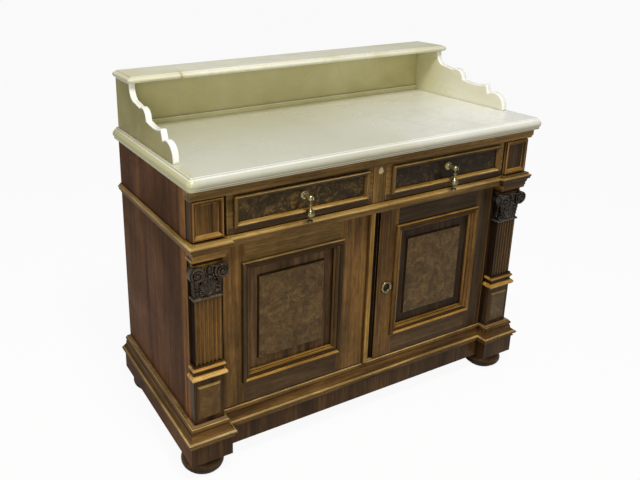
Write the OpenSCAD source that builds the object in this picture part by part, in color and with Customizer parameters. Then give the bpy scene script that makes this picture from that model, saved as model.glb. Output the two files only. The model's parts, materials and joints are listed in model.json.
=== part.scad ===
// Washstand with a marble top: two drawers over a two-door cupboard, on a moulded plinth and bun feet.
// Millimetres. X runs to the right along the front, Y to the back, Z up from the floor.
// Depths (names ending in _d) are measured forward from the back plane of the carcass.

/* [Marble] */
// How far the slab's nose stands out from the case at each end
slab_side_proud = 17; // [10:1:40]
// How far the slab's nose stands out from the face of the doors
slab_front_proud = 61; // [52:1:80]
// Thickness of the marble slab
slab_t = 34; // [26:1:45]
// Plan radius of the front corners of the slab
slab_corner_r = 16; // [10:1:30]
// Height of the marble gallery, slab to shelf
gallery_h = 147; // [130:1:220]
// Thickness of the two scrolled side panels
gallery_t = 18; // [14:1:26]
// Inset of the side panels from the ends of the slab
gallery_inset = 18; // [10:1:40]
// How far the side panels come forward
gallery_reach = 410; // [380:1:500]
// Depth at which the upper scroll of a side panel is centred
gallery_scroll_d = 206; // [195:1:240]
// Thickness of the splashback
splash_t = 20; // [14:1:30]
// Height of the strip along the foot of the splashback
strip_h = 15; // [8:1:25]
// Thickness of that strip
strip_t = 8; // [5:1:15]
// How far the shelf's nose stands in from the slab's nose at each end
shelf_inset = 10; // [0:1:20]
// Depth of the marble shelf
shelf_d = 134; // [110:1:160]
// Thickness of the marble shelf
shelf_t = 18; // [14:1:28]

/* [Carcass] */
// Width of the carcass over its sides
case_w = 1120; // [1060:1:1350]
// Height of the carcass top, which carries the slab
case_top = 820; // [760:1:1000]
// Thickness of the sides
side_t = 18; // [14:1:26]
// Thickness of the back boards
back_t = 10; // [6:1:16]
// Depth of the door faces
door_face_d = 472; // [440:1:560]
// Width of a corner post across the front
post_w = 96; // [80:1:120]
// Thickness of a corner post front to back
post_t = 32; // [24:1:45]
// Thickness of the bottom, dust and shelf boards
board_t = 18; // [12:1:24]
// Height of the cupboard shelf above the floor
cupboard_shelf_z = 400; // [300:1:500]

/* [Drawers] */
// Height of the opening for the drawers
drawer_zone_h = 109; // [95:1:180]
// Height of the moulded rail over the drawers
top_rail_h = 29; // [20:1:45]
// How far the top rail stands forward of the doors
top_rail_proud = 41; // [36:1:60]
// Width of the stile between the drawers
stile_w = 40; // [30:1:70]
// How far the drawer fronts stand forward of the doors
drawer_proud = 26; // [16:1:30]
// Thickness of a drawer front
drawer_front_t = 22; // [16:1:26]
// Thickness of the drawer sides and back
drawer_side_t = 12; // [8:1:16]
// Clearance round a drawer front
drawer_gap = 2; // [1:0.5:4]
// Free space between a drawer box and the back panel
drawer_back_clear = 36; // [20:1:120]
// Height of the drawer sides
drawer_side_h = 82; // [60:1:88]

/* [Doors] */
// Height of the rail between the drawers and the doors
belt_h = 30; // [24:1:45]
// Thickness of the doors
door_t = 22; // [18:1:26]
// Clearance round the doors
door_gap = 2; // [1:0.5:4]
// Width of the hinge stiles
hinge_stile_w = 63; // [56:1:85]
// Width of the meeting stiles
meeting_stile_w = 88; // [80:1:105]
// Width of the top and bottom rails of a door
door_rail_w = 72; // [56:1:95]
// Width of the strip on the left door, along the meeting edge
strip_w = 18; // [12:1:26]
// How far that strip stands forward
strip_proud = 9; // [4:1:14]
// Diameter of the lock escutcheon
escutcheon_dia = 38; // [28:1:48]

/* [Pilasters] */
// Width of a fluted pilaster shaft
shaft_w = 74; // [60:1:84]
// How far the pilasters stand forward of the doors
pilaster_proud = 23; // [18:1:30]
// Height of the pedestal below the base mouldings
pedestal_h = 134; // [100:1:180]
// Height of the base mouldings
base_h = 41; // [30:1:55]
// Height of a capital
capital_h = 117; // [100:1:140]
// Radius of the capital's scrolls
volute_r = 20; // [15:1:21]
// Number of flutes in a shaft
flutes = 6; // [3:1:7]

/* [Plinth and feet] */
// Height of the plinth with its mouldings
plinth_h = 111; // [90:1:140]
// How far the plinth breaks forward under the pilasters
plinth_break = 33; // [25:1:45]
// Height of the bun feet
foot_h = 55; // [40:1:80]
// Diameter of the bun feet
foot_dia = 114; // [90:1:120]

/* [Metalwork] */
// How far the pin of a drop pull stands out from the drawer face
pull_reach = 30; // [28:1:45]
// Length of a drop pull below its pivot
drop_len = 66; // [50:1:67]
// Radius of the bulb of a drop pull
drop_bulb_r = 12; // [6:0.5:13]
// Inset of the door pivots from the outer edge of a door
pivot_inset = 10; // [9:0.5:12]
// Radius of the pins that the doors turn on
pivot_pin_r = 2.5; // [2:0.1:2.8]
// Travel of the bolts
bolt_travel = 12; // [8:1:14]

/* [Hidden] */
$fn = 48;

walnut = [0.42, 0.27, 0.15];
golden = [0.58, 0.40, 0.18];
burl = [0.36, 0.23, 0.12];
marble = [0.88, 0.87, 0.80];
brass = [0.72, 0.58, 0.30];
steel = [0.45, 0.44, 0.42];

// The front of the drop pulls or of the slab, whichever reaches further, sets the overall depth.
pull_axis_d = door_face_d + drawer_proud + pull_reach;
slab_w = case_w + 2 * slab_side_proud;
slab_d = door_face_d + slab_front_proud;
shelf_w = slab_w - 2 * shelf_inset;
back_y = max(slab_d, pull_axis_d + drop_bulb_r) / 2;
// Clearance of a pin in its hole, on the radius.
pin_fit = 0.05;
// Gap between a sliding piece and what guides it.
slide_gap = 0.3;

slab_top = case_top + slab_t;
shelf_z = slab_top + gallery_h;
gallery_x = slab_w / 2 - gallery_inset;
// Depth of the beds in the slab that the gallery and the strip stand in.
slab_bed = 2;

case_x = case_w / 2;
inner_x = case_x - side_t;
post_x = case_x - post_w;
post_back_d = door_face_d - post_t;
drawer_top = case_top - top_rail_h;
belt_top = drawer_top - drawer_zone_h;
belt_z = belt_top - belt_h;
plinth_top = foot_h + plinth_h;

drawer_face_d = door_face_d + drawer_proud;
rail_face_d = door_face_d + top_rail_proud;
block_face_d = drawer_face_d + 5;
belt_face_d = drawer_face_d;
belt_break_d = belt_face_d + 12;
drawer_x = [stile_w / 2 + drawer_gap, post_x - drawer_gap];
drawer_mid_x = (drawer_x[0] + drawer_x[1]) / 2;
drawer_z = [belt_top + drawer_gap, drawer_top - drawer_gap];
runner_h = 4;
drawer_box_z = belt_top + runner_h + slide_gap;
drawer_box_x = [drawer_x[0] + 8, drawer_x[1] - 6];
drawer_back_d = back_t + drawer_back_clear;

pilaster_x = case_x - 45;
pilaster_d = door_face_d + pilaster_proud;
plinth_face_d = pilaster_d - plinth_break;
capital_top = belt_z - 10;
shaft_z = [plinth_top + pedestal_h + base_h, capital_top - capital_h];

door_z = [plinth_top + door_gap, belt_z - door_gap];
door_back_d = door_face_d - door_t;
door_outer_x = post_x - door_gap;
pivot_x = door_outer_x - pivot_inset;
pivot_d = door_face_d - 4;
pivot_plate_t = 3;
pivot_plate_x = [pivot_x - 16, pivot_x + 6];
pivot_plate_d = [pivot_d - 8, pivot_d + 3];
left_meet_x = 10;
right_meet_x = 12.5;
rebate_w = 14;
rebate_d = 10;
panel_laps = 10;
lock_z = (door_z[0] + door_z[1]) / 2 - 12;

// ---- helpers ----

function fy(d) = back_y - d;
function right_normal(a, b) = let (v = (b - a) / norm(b - a)) [v[1], -v[0]];
function mitre(n1, n2) = (n1 + n2) / (1 + n1 * n2);
function arc(cx, cy, r, a0, a1, steps) =
    [for (i = [0:steps]) let (a = a0 + (a1 - a0) * i / steps) [cx + r * cos(a), cy + r * sin(a)]];

// Mitre vector at each point of a path. An open path ends square, a closed one wraps round.
function mitres(path, closed = false) = let (n = len(path)) [for (i = [0:n - 1])
    let (before = right_normal(path[(i + n - 1) % n], path[i]),
        after = right_normal(path[i], path[(i + 1) % n]))
    (!closed && i == 0) ? after : (!closed && i == n - 1) ? before : mitre(before, after)];

// A board between two x values, two depths and two heights.
module board(x, d, z) {
    translate([x[0], fy(d[1]), z[0]])
        cube([x[1] - x[0], d[1] - d[0], z[1] - z[0]]);
}

// A moulding mitred along a plan path. The profile is [out, z], counter-clockwise, out to the
// right of travel.
module moulding_run(path, profile, closed = false) {
    n = len(path);
    m = len(profile);
    out = mitres(path, closed);
    points = [for (i = [0:n - 1]) for (q = profile) [each (path[i] + out[i] * q[0]), q[1]]];
    sides = [for (i = [0:closed ? n - 1 : n - 2]) for (j = [0:m - 1])
        [i * m + j, i * m + (j + 1) % m, ((i + 1) % n) * m + (j + 1) % m, ((i + 1) % n) * m + j]];
    ends = closed ? [] : [[for (j = [m - 1:-1:0]) j], [for (j = [0:m - 1]) (n - 1) * m + j]];
    polyhedron(points, concat(sides, ends), convexity = 8);
}

// A mitred frame standing on a face that looks to the front: w by h at its path, profile [out, proud].
module moulding_frame(w, h, profile) {
    rotate([90, 0, 0])
        moulding_run([[-w, h] / 2, [-w, -h] / 2, [w, -h] / 2, [w, h] / 2], profile, closed = true);
}

// A slab with a moulded front and ends and a square back. The profile is [out, z] from bottom to top.
module moulded_slab(w, d, corner_r, profile) {
    outline = concat([[-w / 2, fy(0)]],
        arc(corner_r - w / 2, fy(d) + corner_r, corner_r, 180, 270, 4),
        arc(w / 2 - corner_r, fy(d) + corner_r, corner_r, 270, 360, 4),
        [[w / 2, fy(0)]]);
    n = len(outline);
    m = len(profile);
    out = mitres(outline);
    points = [for (q = profile) for (i = [0:n - 1]) [each (outline[i] + out[i] * q[0]), q[1]]];
    sides = [for (k = [0:m - 2]) for (i = [0:n - 1])
        [k * n + i, (k + 1) * n + i, (k + 1) * n + (i + 1) % n, k * n + (i + 1) % n]];
    caps = [[for (i = [0:n - 1]) i], [for (i = [n - 1:-1:0]) (m - 1) * n + i]];
    polyhedron(points, concat(sides, caps), convexity = 4);
}

// The three free sides of a block planted on the front, as a path for its mouldings.
function block_path(x0, x1, d0, d1) = [[x0, fy(d0)], [x0, fy(d1)], [x1, fy(d1)], [x1, fy(d0)]];

module both_sides() {
    children();
    mirror([1, 0, 0])
        children();
}

// ---- marble ----

// Edge of the slab: flat underside, bold round nose, and a quirk below the flat top.
function slab_edge(z, t) = concat([[-9, z], [-4, z + 1]],
    arc(-t * 0.34, z + t * 0.46, t * 0.34, -50, 60, 5),
    [[-8, z + t * 0.84], [-11, z + t * 0.86], [-12, z + t]]);

module marble_slab() {
    bed_z = [slab_top - slab_bed, slab_top + 1];
    color(marble)
        difference() {
            moulded_slab(slab_w, slab_d, slab_corner_r, slab_edge(case_top, slab_t));
            board([-gallery_x, gallery_x], [-1, splash_t + strip_t], bed_z);
            for (x = [-gallery_x, gallery_x - gallery_t])
                board([x, x + gallery_t], [-1, gallery_reach], bed_z);
        }
}

module splashback() {
    color(marble)
        board([gallery_t - gallery_x, gallery_x - gallery_t], [0, splash_t], [slab_top - slab_bed, shelf_z]);
}

module splash_strip() {
    color(marble)
        board([gallery_t - gallery_x, gallery_x - gallery_t], [splash_t, splash_t + strip_t],
            [slab_top - slab_bed, slab_top + strip_h]);
}

// Scrolled outline of a side panel as [depth, height]: a cove under the shelf, a small scroll, a shallow
// cove and a large scroll that lands on the slab.
cove_r = 34;
upper_scroll_r = 32;
lower_scroll_r = 42;
cove_d = shelf_d - 16 + cove_r;
sag_d = [gallery_scroll_d + upper_scroll_r, gallery_reach - lower_scroll_r - 32];
gallery_outline = concat(
    [[0, slab_top - slab_bed], [0, shelf_z], [cove_d - cove_r, shelf_z]],
    arc(cove_d, shelf_z - 11, cove_r, 180, 270, 6),
    arc(gallery_scroll_d, slab_top + gallery_h / 2 - 5, upper_scroll_r, 122, 0, 7),
    [for (i = [1:5]) [sag_d[0] + (sag_d[1] - sag_d[0]) * i / 5,
        slab_top + gallery_h / 2 - 5 - 7 * sin(36 * i) + i * 0.5]],
    arc(gallery_reach - lower_scroll_r, slab_top + 9, lower_scroll_r, 122, 0, 7),
    [[gallery_reach, slab_top - slab_bed]]);

module gallery_right() {
    color(marble)
        translate([gallery_x - gallery_t, fy(0), 0])
            rotate([90, 0, -90])
                mirror([0, 0, 1])
                    linear_extrude(height = gallery_t)
                        polygon(gallery_outline);
}

module gallery_left() {
    mirror([1, 0, 0])
        gallery_right();
}

module marble_shelf() {
    color(marble)
        moulded_slab(shelf_w, shelf_d, slab_corner_r * 0.7, slab_edge(shelf_z, shelf_t));
}

// ---- carcass ----

// Moulded rail under the slab: a flat face with a cove along its lower edge.
module top_rail() {
    rail_x = case_x + 4;
    back = door_face_d;
    profile = concat([[back, case_top], [rail_face_d, case_top], [rail_face_d, drawer_top + 9]],
        arc(rail_face_d + 1, drawer_top + 2, 6, 100, 180, 4),
        [[rail_face_d - 5, drawer_top], [back, drawer_top]]);
    color(walnut)
        translate([-rail_x, fy(0), 0])
            rotate([90, 0, 90])
                linear_extrude(height = 2 * rail_x)
                    polygon([for (q = profile) [-q[0], q[1]]]);
}

// The side board stops behind the corner post.
module side_right() {
    color(walnut)
        board([inner_x, case_x], [0, post_back_d], [plinth_top, case_top]);
}

module side_left() {
    mirror([1, 0, 0])
        side_right();
}

// Back boards with V grooves where they join.
module back_panel() {
    groove = 5;
    color(walnut)
        difference() {
            board([-inner_x, inner_x], [2, 2 + back_t], [plinth_top, case_top]);
            for (i = [-3:3])
                translate([i * inner_x / 3.5, fy(2), 0])
                    rotate([0, 0, 45])
                        translate([-groove / 2, -groove / 2, 0])
                            cube([groove, groove, case_top + 1]);
        }
}

module corner_post_right() {
    color(walnut)
        board([post_x, case_x], [post_back_d, door_face_d], [plinth_top, case_top]);
}

module corner_post_left() {
    mirror([1, 0, 0])
        corner_post_right();
}

// Block over a pilaster, beside the drawers, with a mitred moulding round a sunk panel.
block_x = [post_x + 6, case_x - 2];
module corner_block_right() {
    w = block_x[1] - block_x[0];
    h = drawer_zone_h;
    bead = [[0, -1], [0, 7], [-2, 8], [-6, 7], [-9, 3], [-12, 0], [-12, -1]];
    color(walnut) {
        board(block_x, [door_face_d, block_face_d - 6], [belt_top, drawer_top]);
        translate([(block_x[0] + block_x[1]) / 2, fy(block_face_d - 6), belt_top + h / 2])
            moulding_frame(w - 4, h - 8, bead);
    }
}

module corner_block_left() {
    mirror([1, 0, 0])
        corner_block_right();
}

module centre_stile() {
    color(golden)
        board([-stile_w / 2, stile_w / 2], [drawer_face_d - 25, drawer_face_d], [belt_top, drawer_top]);
}

module drawer_divider() {
    color(walnut)
        board([-board_t / 2, board_t / 2], [back_t + 2, drawer_face_d - 25], [belt_top, drawer_top]);
}

// Rail between drawers and doors. It breaks forward over each pilaster and carries the belt moulding.
// Its underside has a pocket for each pivot socket.
module belt_rail() {
    color(walnut)
        difference() {
            union() {
                board([-post_x, post_x], [door_back_d - 3, belt_face_d], [belt_z, belt_top]);
                both_sides()
                    board([post_x, case_x], [door_face_d, belt_break_d], [capital_top, belt_top]);
            }
            both_sides()
                pivot_plate(belt_z - 1, belt_z + pivot_plate_t);
        }
}

// Cove, round nose and top fillet of the belt, as [out, z] from its backing face.
belt_profile = concat([[0, belt_top - 29], [2, belt_top - 29], [2, belt_top - 26]],
    arc(10, belt_top - 25, 7.5, 175, 100, 4), [[8, belt_top - 15]],
    arc(6, belt_top - 9.5, 4.5, -60, 80, 5), [[4, belt_top - 4], [4, belt_top], [0, belt_top]]);

module belt_moulding() {
    path = [[-case_x, fy(0)], [-case_x, fy(belt_break_d)], [-post_x, fy(belt_break_d)],
        [-post_x, fy(belt_face_d)],
        [post_x, fy(belt_face_d)], [post_x, fy(belt_break_d)], [case_x, fy(belt_break_d)], [case_x, fy(0)]];
    color(golden)
        moulding_run(path, belt_profile);
}

// Board under the drawers, notched round the corner posts.
module dust_board() {
    z = [belt_top - board_t, belt_top];
    color(walnut) {
        board([-inner_x, inner_x], [back_t + 2, post_back_d], z);
        board([-post_x, post_x], [post_back_d, door_back_d - 3], z);
    }
}

// Runners under the drawer sides, and guides beside them.
module drawer_runners() {
    d = [back_t + 2, post_back_d];
    color(walnut)
        both_sides() {
            board([board_t / 2, drawer_box_x[0] + 16], d, [belt_top, belt_top + runner_h]);
            board([drawer_box_x[1] - 16, inner_x], d, [belt_top, belt_top + runner_h]);
            board([board_t / 2, drawer_box_x[0] - slide_gap], d, [belt_top + runner_h, belt_top + 26]);
            board([drawer_box_x[1] + slide_gap, post_x + 20], d, [belt_top + runner_h, belt_top + 26]);
        }
}

// ---- pilasters ----

// Fluted shaft: round flutes cut from the front.
module pilaster_right() {
    pitch = shaft_w / (flutes + 0.6);
    color(walnut)
        translate([pilaster_x, fy(door_face_d), shaft_z[0]])
            linear_extrude(height = shaft_z[1] - shaft_z[0])
                difference() {
                    translate([-shaft_w / 2, -pilaster_proud])
                        square([shaft_w, pilaster_proud]);
                    for (i = [0:flutes - 1])
                        translate([(i - (flutes - 1) / 2) * pitch, -pilaster_proud - 1])
                            circle(r = pitch * 0.38);
                }
}

module pilaster_left() {
    mirror([1, 0, 0])
        pilaster_right();
}

// One turn and a half of a tapering scroll band, drawn about its eye.
module scroll_band(r, turns, width) {
    steps = 30;
    angle = function (i) 90 - 360 * turns * i / steps;
    radius = function (i) r - (r - width * 1.4) * i / steps;
    outer = [for (i = [0:steps]) radius(i) * [cos(angle(i)), sin(angle(i))]];
    inner = [for (i = [steps:-1:0])
        (radius(i) - width * (1 - 0.4 * i / steps)) * [cos(angle(i)), sin(angle(i))]];
    polygon(concat(outer, inner));
}

// A volute that faces the front: a bolster behind, a disc, a raised spiral band and an eye.
module volute(side) {
    depth = 20;
    translate([side * (shaft_w / 2 - 3), 0, 0])
        rotate([90, 0, 0]) {
            translate([0, 0, 3])
                cylinder(r = volute_r - 5, h = pilaster_proud);
            translate([0, 0, pilaster_proud - 2])
                cylinder(r = volute_r, h = depth - 4);
            translate([0, 0, pilaster_proud + depth - 7])
                mirror([side < 0 ? 1 : 0, 0, 0])
                    linear_extrude(height = 4)
                        scroll_band(volute_r, 1.5, 5);
            translate([0, 0, pilaster_proud + depth - 7])
                cylinder(r = 4.5, h = 5);
        }
}

// Acanthus-like leaf outline for the bell of the capital, tip up.
function leaf_outline(w, h) = [for (i = [0:24])
    let (t = i / 24, s = 1 - abs(2 * t - 1), side = t < 0.5 ? -1 : 1)
    [side * w / 2 * sin(min(s, 1) * 165) * (1 + 0.12 * cos(s * 1440)), h * (t < 0.5 ? 2 * t : 2 - 2 * t)]];

// Capital: necking bead, bell with a leaf, two volutes and a double abacus.
module capital_right() {
    z0 = shaft_z[1];
    x = [pilaster_x - shaft_w / 2, pilaster_x + shaft_w / 2];
    abacus_z = capital_top - 27;
    necking = concat([[0, z0]], arc(1, z0 + 4, 4, -70, 70, 4), [[0, z0 + 8]]);
    abacus = concat([[0, abacus_z], [3, abacus_z], [3, abacus_z + 7], [1.5, abacus_z + 8]],
        arc(9, abacus_z + 9, 7.5, 180, 100, 4), [[10, capital_top - 9], [10, capital_top], [0, capital_top]]);
    color(walnut) {
        board(x, [door_face_d, pilaster_d], [z0, capital_top]);
        moulding_run(block_path(x[0], x[1], door_face_d, pilaster_d), necking);
        moulding_run(block_path(x[0], x[1], door_face_d, pilaster_d), abacus);
        translate([pilaster_x, fy(door_face_d), abacus_z - volute_r + 5]) {
            volute(-1);
            volute(1);
        }
        board([pilaster_x - 16, pilaster_x + 16], [pilaster_d, pilaster_d + 8], [abacus_z - 18, abacus_z]);
        translate([pilaster_x, fy(pilaster_d), z0 + 9])
            rotate([90, 0, 0])
                linear_extrude(height = 5)
                    polygon(leaf_outline(44, abacus_z - z0 - 28));
    }
}

module capital_left() {
    mirror([1, 0, 0])
        capital_right();
}

// Pedestal with a raised panel, and the two base mouldings of the shaft on top of it.
module pedestal_right() {
    x = [pilaster_x - 41, case_x];
    z = [plinth_top, plinth_top + pedestal_h];
    base = concat([[0, z[1]]], arc(4, z[1] + 8, 8, -60, 60, 5), [[4, z[1] + 16]],
        arc(10, z[1] + 21, 7, 225, 145, 3), [[5, z[1] + 26]], arc(3, z[1] + 31, 5, -60, 60, 4),
        [[3, z[1] + 36], [3, z[1] + base_h], [0, z[1] + base_h]]);
    margin = 9;
    color(walnut) {
        board(x, [door_face_d, pilaster_d], [z[0], z[1]]);
        board([x[0] + 5, x[1] - 4], [door_face_d, pilaster_d], [z[1], z[1] + base_h]);
        moulding_run(block_path(x[0] + 5, x[1] - 4, door_face_d, pilaster_d), base);
        translate([(x[0] + x[1]) / 2, fy(pilaster_d), (z[0] + z[1]) / 2 - 4])
            fielded(x[1] - x[0] - 2 * margin, pedestal_h - 34, 5, 4);
    }
}

module pedestal_left() {
    mirror([1, 0, 0])
        pedestal_right();
}

// A raised field with bevelled edges, standing on a face that looks to the front.
module fielded(w, h, bevel, rise) {
    v = [w / 2 - bevel, h / 2 - bevel];
    points = [for (k = [0, 1]) for (s = [[-1, -1], [1, -1], [1, 1], [-1, 1]])
        k == 0 ? [s[0] * w / 2, 0, s[1] * h / 2] : [s[0] * v[0], -rise, s[1] * v[1]]];
    polyhedron(points, [[0, 1, 2, 3], [7, 6, 5, 4], [0, 4, 5, 1], [1, 5, 6, 2], [2, 6, 7, 3], [3, 7, 4, 0]]);
}

// ---- plinth and feet ----

break_x = pilaster_x - 35;
plinth_path = [[-case_x, fy(0)], [-case_x, fy(plinth_face_d + plinth_break)],
    [-break_x, fy(plinth_face_d + plinth_break)],
    [-break_x, fy(plinth_face_d)], [break_x, fy(plinth_face_d)], [break_x, fy(plinth_face_d + plinth_break)],
    [case_x, fy(plinth_face_d + plinth_break)], [case_x, fy(0)]];

// The bottom board sits in a rebate of the plinth, this far out from its backing face.
plinth_rebate = door_face_d - plinth_face_d;

// From the floor side up: fascia, fillet bead, quirk, nose, cyma, step and torus, then the rebate.
plinth_profile = concat([[0, foot_h], [20, foot_h], [20, plinth_top - 57]],
    arc(21, plinth_top - 53, 3.5, -70, 70, 3), [[21, plinth_top - 48], [24, plinth_top - 46]],
    arc(25.5, plinth_top - 40, 5, -75, 75, 4), arc(28, plinth_top - 22, 12.5, 255, 185, 4),
    [[15.5, plinth_top - 19], [13, plinth_top - 16]], arc(8.5, plinth_top - 8.5, 7.5, -50, 70, 5),
    [[11, plinth_top], [plinth_rebate, plinth_top], [plinth_rebate, plinth_top - board_t],
        [0, plinth_top - board_t]]);

module plinth() {
    color(walnut)
        moulding_run(plinth_path, plinth_profile);
}

// The bottom board carries the sides, posts and pedestals. Its top has a pocket for each pivot socket.
module bottom_board() {
    out = mitres(plinth_path);
    color(walnut)
        difference() {
            translate([0, 0, plinth_top - board_t])
                linear_extrude(height = board_t)
                    polygon([for (i = [0:len(plinth_path) - 1]) plinth_path[i] + out[i] * plinth_rebate]);
            both_sides()
                pivot_plate(plinth_top - pivot_plate_t, plinth_top + 1);
        }
}

foot_x = case_x - 38;
foot_ds = [52, pilaster_d - 42];
module foot_blocks() {
    color(walnut)
        both_sides()
            for (d = foot_ds)
                board([foot_x - 36, foot_x + 36], [d - 38, d + 38], [foot_h, plinth_top - board_t]);
}

module bun_foot() {
    r = foot_dia / 2;
    h = foot_h;
    rotate_extrude($fn = 64)
        polygon(concat([[0, 0], [r * 0.64, 0]], arc(r * 0.5, h * 0.42, h * 0.4, -60, 70, 8),
            [[r * 0.62, h * 0.84], [r * 0.66, h * 0.88], [r * 0.66, h], [0, h]]));
}

module bun_feet_front() {
    color(walnut)
        both_sides()
            translate([foot_x, fy(foot_ds[1]), 0])
                bun_foot();
}

module bun_feet_back() {
    color(walnut)
        both_sides()
            translate([foot_x, fy(foot_ds[0]), 0])
                bun_foot();
}

// ---- cupboard ----

cupboard_shelf_d = door_back_d - 20;
module cupboard_shelf() {
    color(walnut)
        board([1 - inner_x, inner_x - 1], [back_t + 3, cupboard_shelf_d],
            [cupboard_shelf_z, cupboard_shelf_z + board_t - 2]);
}

module shelf_bearers() {
    color(walnut)
        both_sides()
            board([inner_x - 20, inner_x], [back_t + 3, cupboard_shelf_d],
                [cupboard_shelf_z - 20, cupboard_shelf_z]);
}

// ---- drawers ----

module right_drawer_front() {
    color(walnut)
        board(drawer_x, [drawer_face_d - drawer_front_t, drawer_face_d], drawer_z);
}

// Light moulding, mitred round the burl panel of the drawer front.
module right_drawer_moulding() {
    w = drawer_x[1] - drawer_x[0] - 36;
    z = [drawer_z[0] + 17, drawer_z[1] - 7];
    profile = concat([[0, 0], [0, 6]], arc(-5, 6, 5, 20, 150, 5), [[-11, 4], [-12, 0]]);
    color(golden)
        translate([drawer_mid_x, fy(drawer_face_d), (z[0] + z[1]) / 2])
            moulding_frame(w, z[1] - z[0], profile);
}

module right_drawer_box() {
    z = [drawer_box_z, drawer_box_z + drawer_side_h];
    d = [drawer_back_d, drawer_face_d - drawer_front_t];
    color(walnut) {
        board([drawer_box_x[0], drawer_box_x[0] + drawer_side_t], d, z);
        board([drawer_box_x[1] - drawer_side_t, drawer_box_x[1]], d, z);
        board([drawer_box_x[0] + drawer_side_t, drawer_box_x[1] - drawer_side_t],
            [drawer_back_d, drawer_back_d + drawer_side_t], z);
    }
}

module right_drawer_bottom() {
    color(walnut)
        board([drawer_box_x[0] + drawer_side_t, drawer_box_x[1] - drawer_side_t],
            [drawer_back_d + drawer_side_t, drawer_face_d - drawer_front_t],
            [drawer_box_z + 4, drawer_box_z + 10]);
}

pull_z = drawer_z[0] + 66;
pivot_r = 1.5;
head_r = 7.5;
slot_w = 4;

// Turned rosette, shank, and a slotted ball that holds the pivot pin of the drop.
module right_pull_mount() {
    reach = pull_axis_d - drawer_face_d;
    color(brass)
        translate([drawer_mid_x, fy(pull_axis_d), pull_z]) {
            difference() {
                union() {
                    sphere(r = head_r);
                    rotate([-90, 0, 0])
                        rotate_extrude()
                            polygon([[0, 2], [3.6, 2], [3.6, reach - 9], [6, reach - 7], [7, reach - 5],
                                [11, reach - 4], [12, reach - 1.5], [12, reach], [0, reach]]);
                }
                rotate([0, 90, 0])
                    cylinder(r = 5.2, h = slot_w, center = true);
                translate([-slot_w / 2, -head_r - 1, -head_r - 1])
                    cube([slot_w, head_r + 4, head_r + 1]);
                translate([-slot_w / 2, -head_r - 1, -2.4])
                    cube([slot_w, head_r + 1, 6]);
            }
            rotate([0, 90, 0])
                cylinder(r = pivot_r, h = head_r * 1.6, center = true);
        }
}

// Drop pull hanging from its eye: thin neck, collar, bulb and tip, turned in one piece.
module right_pull_drop() {
    tip = -drop_len;
    color(brass)
        translate([drawer_mid_x, fy(pull_axis_d), pull_z])
            difference() {
                union() {
                    rotate([0, 90, 0])
                        cylinder(r = 4.4, h = slot_w - 0.8, center = true);
                    rotate_extrude()
                        polygon(concat([[0, -3], [1.5, -3], [1.5, -11], [3.4, -11.8], [3.4, -13.4],
                            [2.2, -14.4], [4.8, -15.8],
                            [5.8, -17.6], [4.8, -19.6], [3, -21], [2.6, -24], [3.8, -27.5]],
                            arc(0, tip + 25, drop_bulb_r, 55, -50, 8),
                            [[3, tip + 13], [2.6, tip + 8], [4, tip + 5], [3.2, tip + 1.5],
                            [1, tip], [0, tip]]));
                }
                rotate([0, 90, 0])
                    cylinder(r = pivot_r + pin_fit, h = slot_w + 2, center = true);
            }
}

module left_drawer_front() {
    mirror([1, 0, 0])
        right_drawer_front();
}
module left_drawer_moulding() {
    mirror([1, 0, 0])
        right_drawer_moulding();
}
module left_drawer_box() {
    mirror([1, 0, 0])
        right_drawer_box();
}
module left_drawer_bottom() {
    mirror([1, 0, 0])
        right_drawer_bottom();
}
module left_pull_mount() {
    mirror([1, 0, 0])
        right_pull_mount();
}
module left_pull_drop() {
    mirror([1, 0, 0])
        right_pull_drop();
}

// ---- doors ----

// The opening of a door frame, between its stiles and rails.
opening_x = [right_meet_x + meeting_stile_w, door_outer_x - hinge_stile_w];
opening_z = [door_z[0] + door_rail_w, door_z[1] - door_rail_w];
opening_w = opening_x[1] - opening_x[0];
opening_h = opening_z[1] - opening_z[0];
opening_mid_x = (opening_x[0] + opening_x[1]) / 2;
opening_mid_z = (opening_z[0] + opening_z[1]) / 2;
panel_t = 8;
panel_face_d = door_back_d + panel_t;

// Stiles and rails with a rebate behind for the panel and a pocket for each pivot plate.
module door_frame(meet_x) {
    color(walnut)
        difference() {
            board([meet_x, door_outer_x], [door_back_d, door_face_d], door_z);
            board(opening_x, [door_back_d - 1, door_face_d + 1], opening_z);
            board(opening_x + [-panel_laps, panel_laps], [door_back_d - 1, panel_face_d],
                opening_z + [-panel_laps, panel_laps]);
            pivot_plate(door_z[0] - 1, door_z[0] + pivot_plate_t);
            pivot_plate(door_z[1] - pivot_plate_t, door_z[1] + 1);
            children();
        }
}

// The right door's meeting edge is rebated, which leaves a dark channel beside the strip.
module right_door_frame() {
    door_frame(right_meet_x)
        board([right_meet_x - 1, right_meet_x + rebate_w], [door_face_d - rebate_d, door_face_d + 1],
            [door_z[0] - 1, door_z[1] + 1]);
}

module left_door_frame() {
    mirror([1, 0, 0])
        door_frame(-left_meet_x);
}

// Bolection moulding: it laps the frame in front and runs down to the panel inside the opening.
module right_door_moulding() {
    lap = 9;
    well = panel_face_d - door_face_d;
    profile = concat([[lap, 0], [lap, 3]], arc(lap - 6, 4, 6, 0, 160, 7), [[-3.4, 2.5], [-5, 1]],
        arc(-9, 0, 4, 60, 180, 5), [[-13, -4], [-16, -6], [-16, well], [0, well], [0, 0]]);
    color(golden)
        translate([opening_mid_x, fy(door_face_d), opening_mid_z])
            moulding_frame(opening_w, opening_h, profile);
}

module left_door_moulding() {
    mirror([1, 0, 0])
        right_door_moulding();
}

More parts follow.
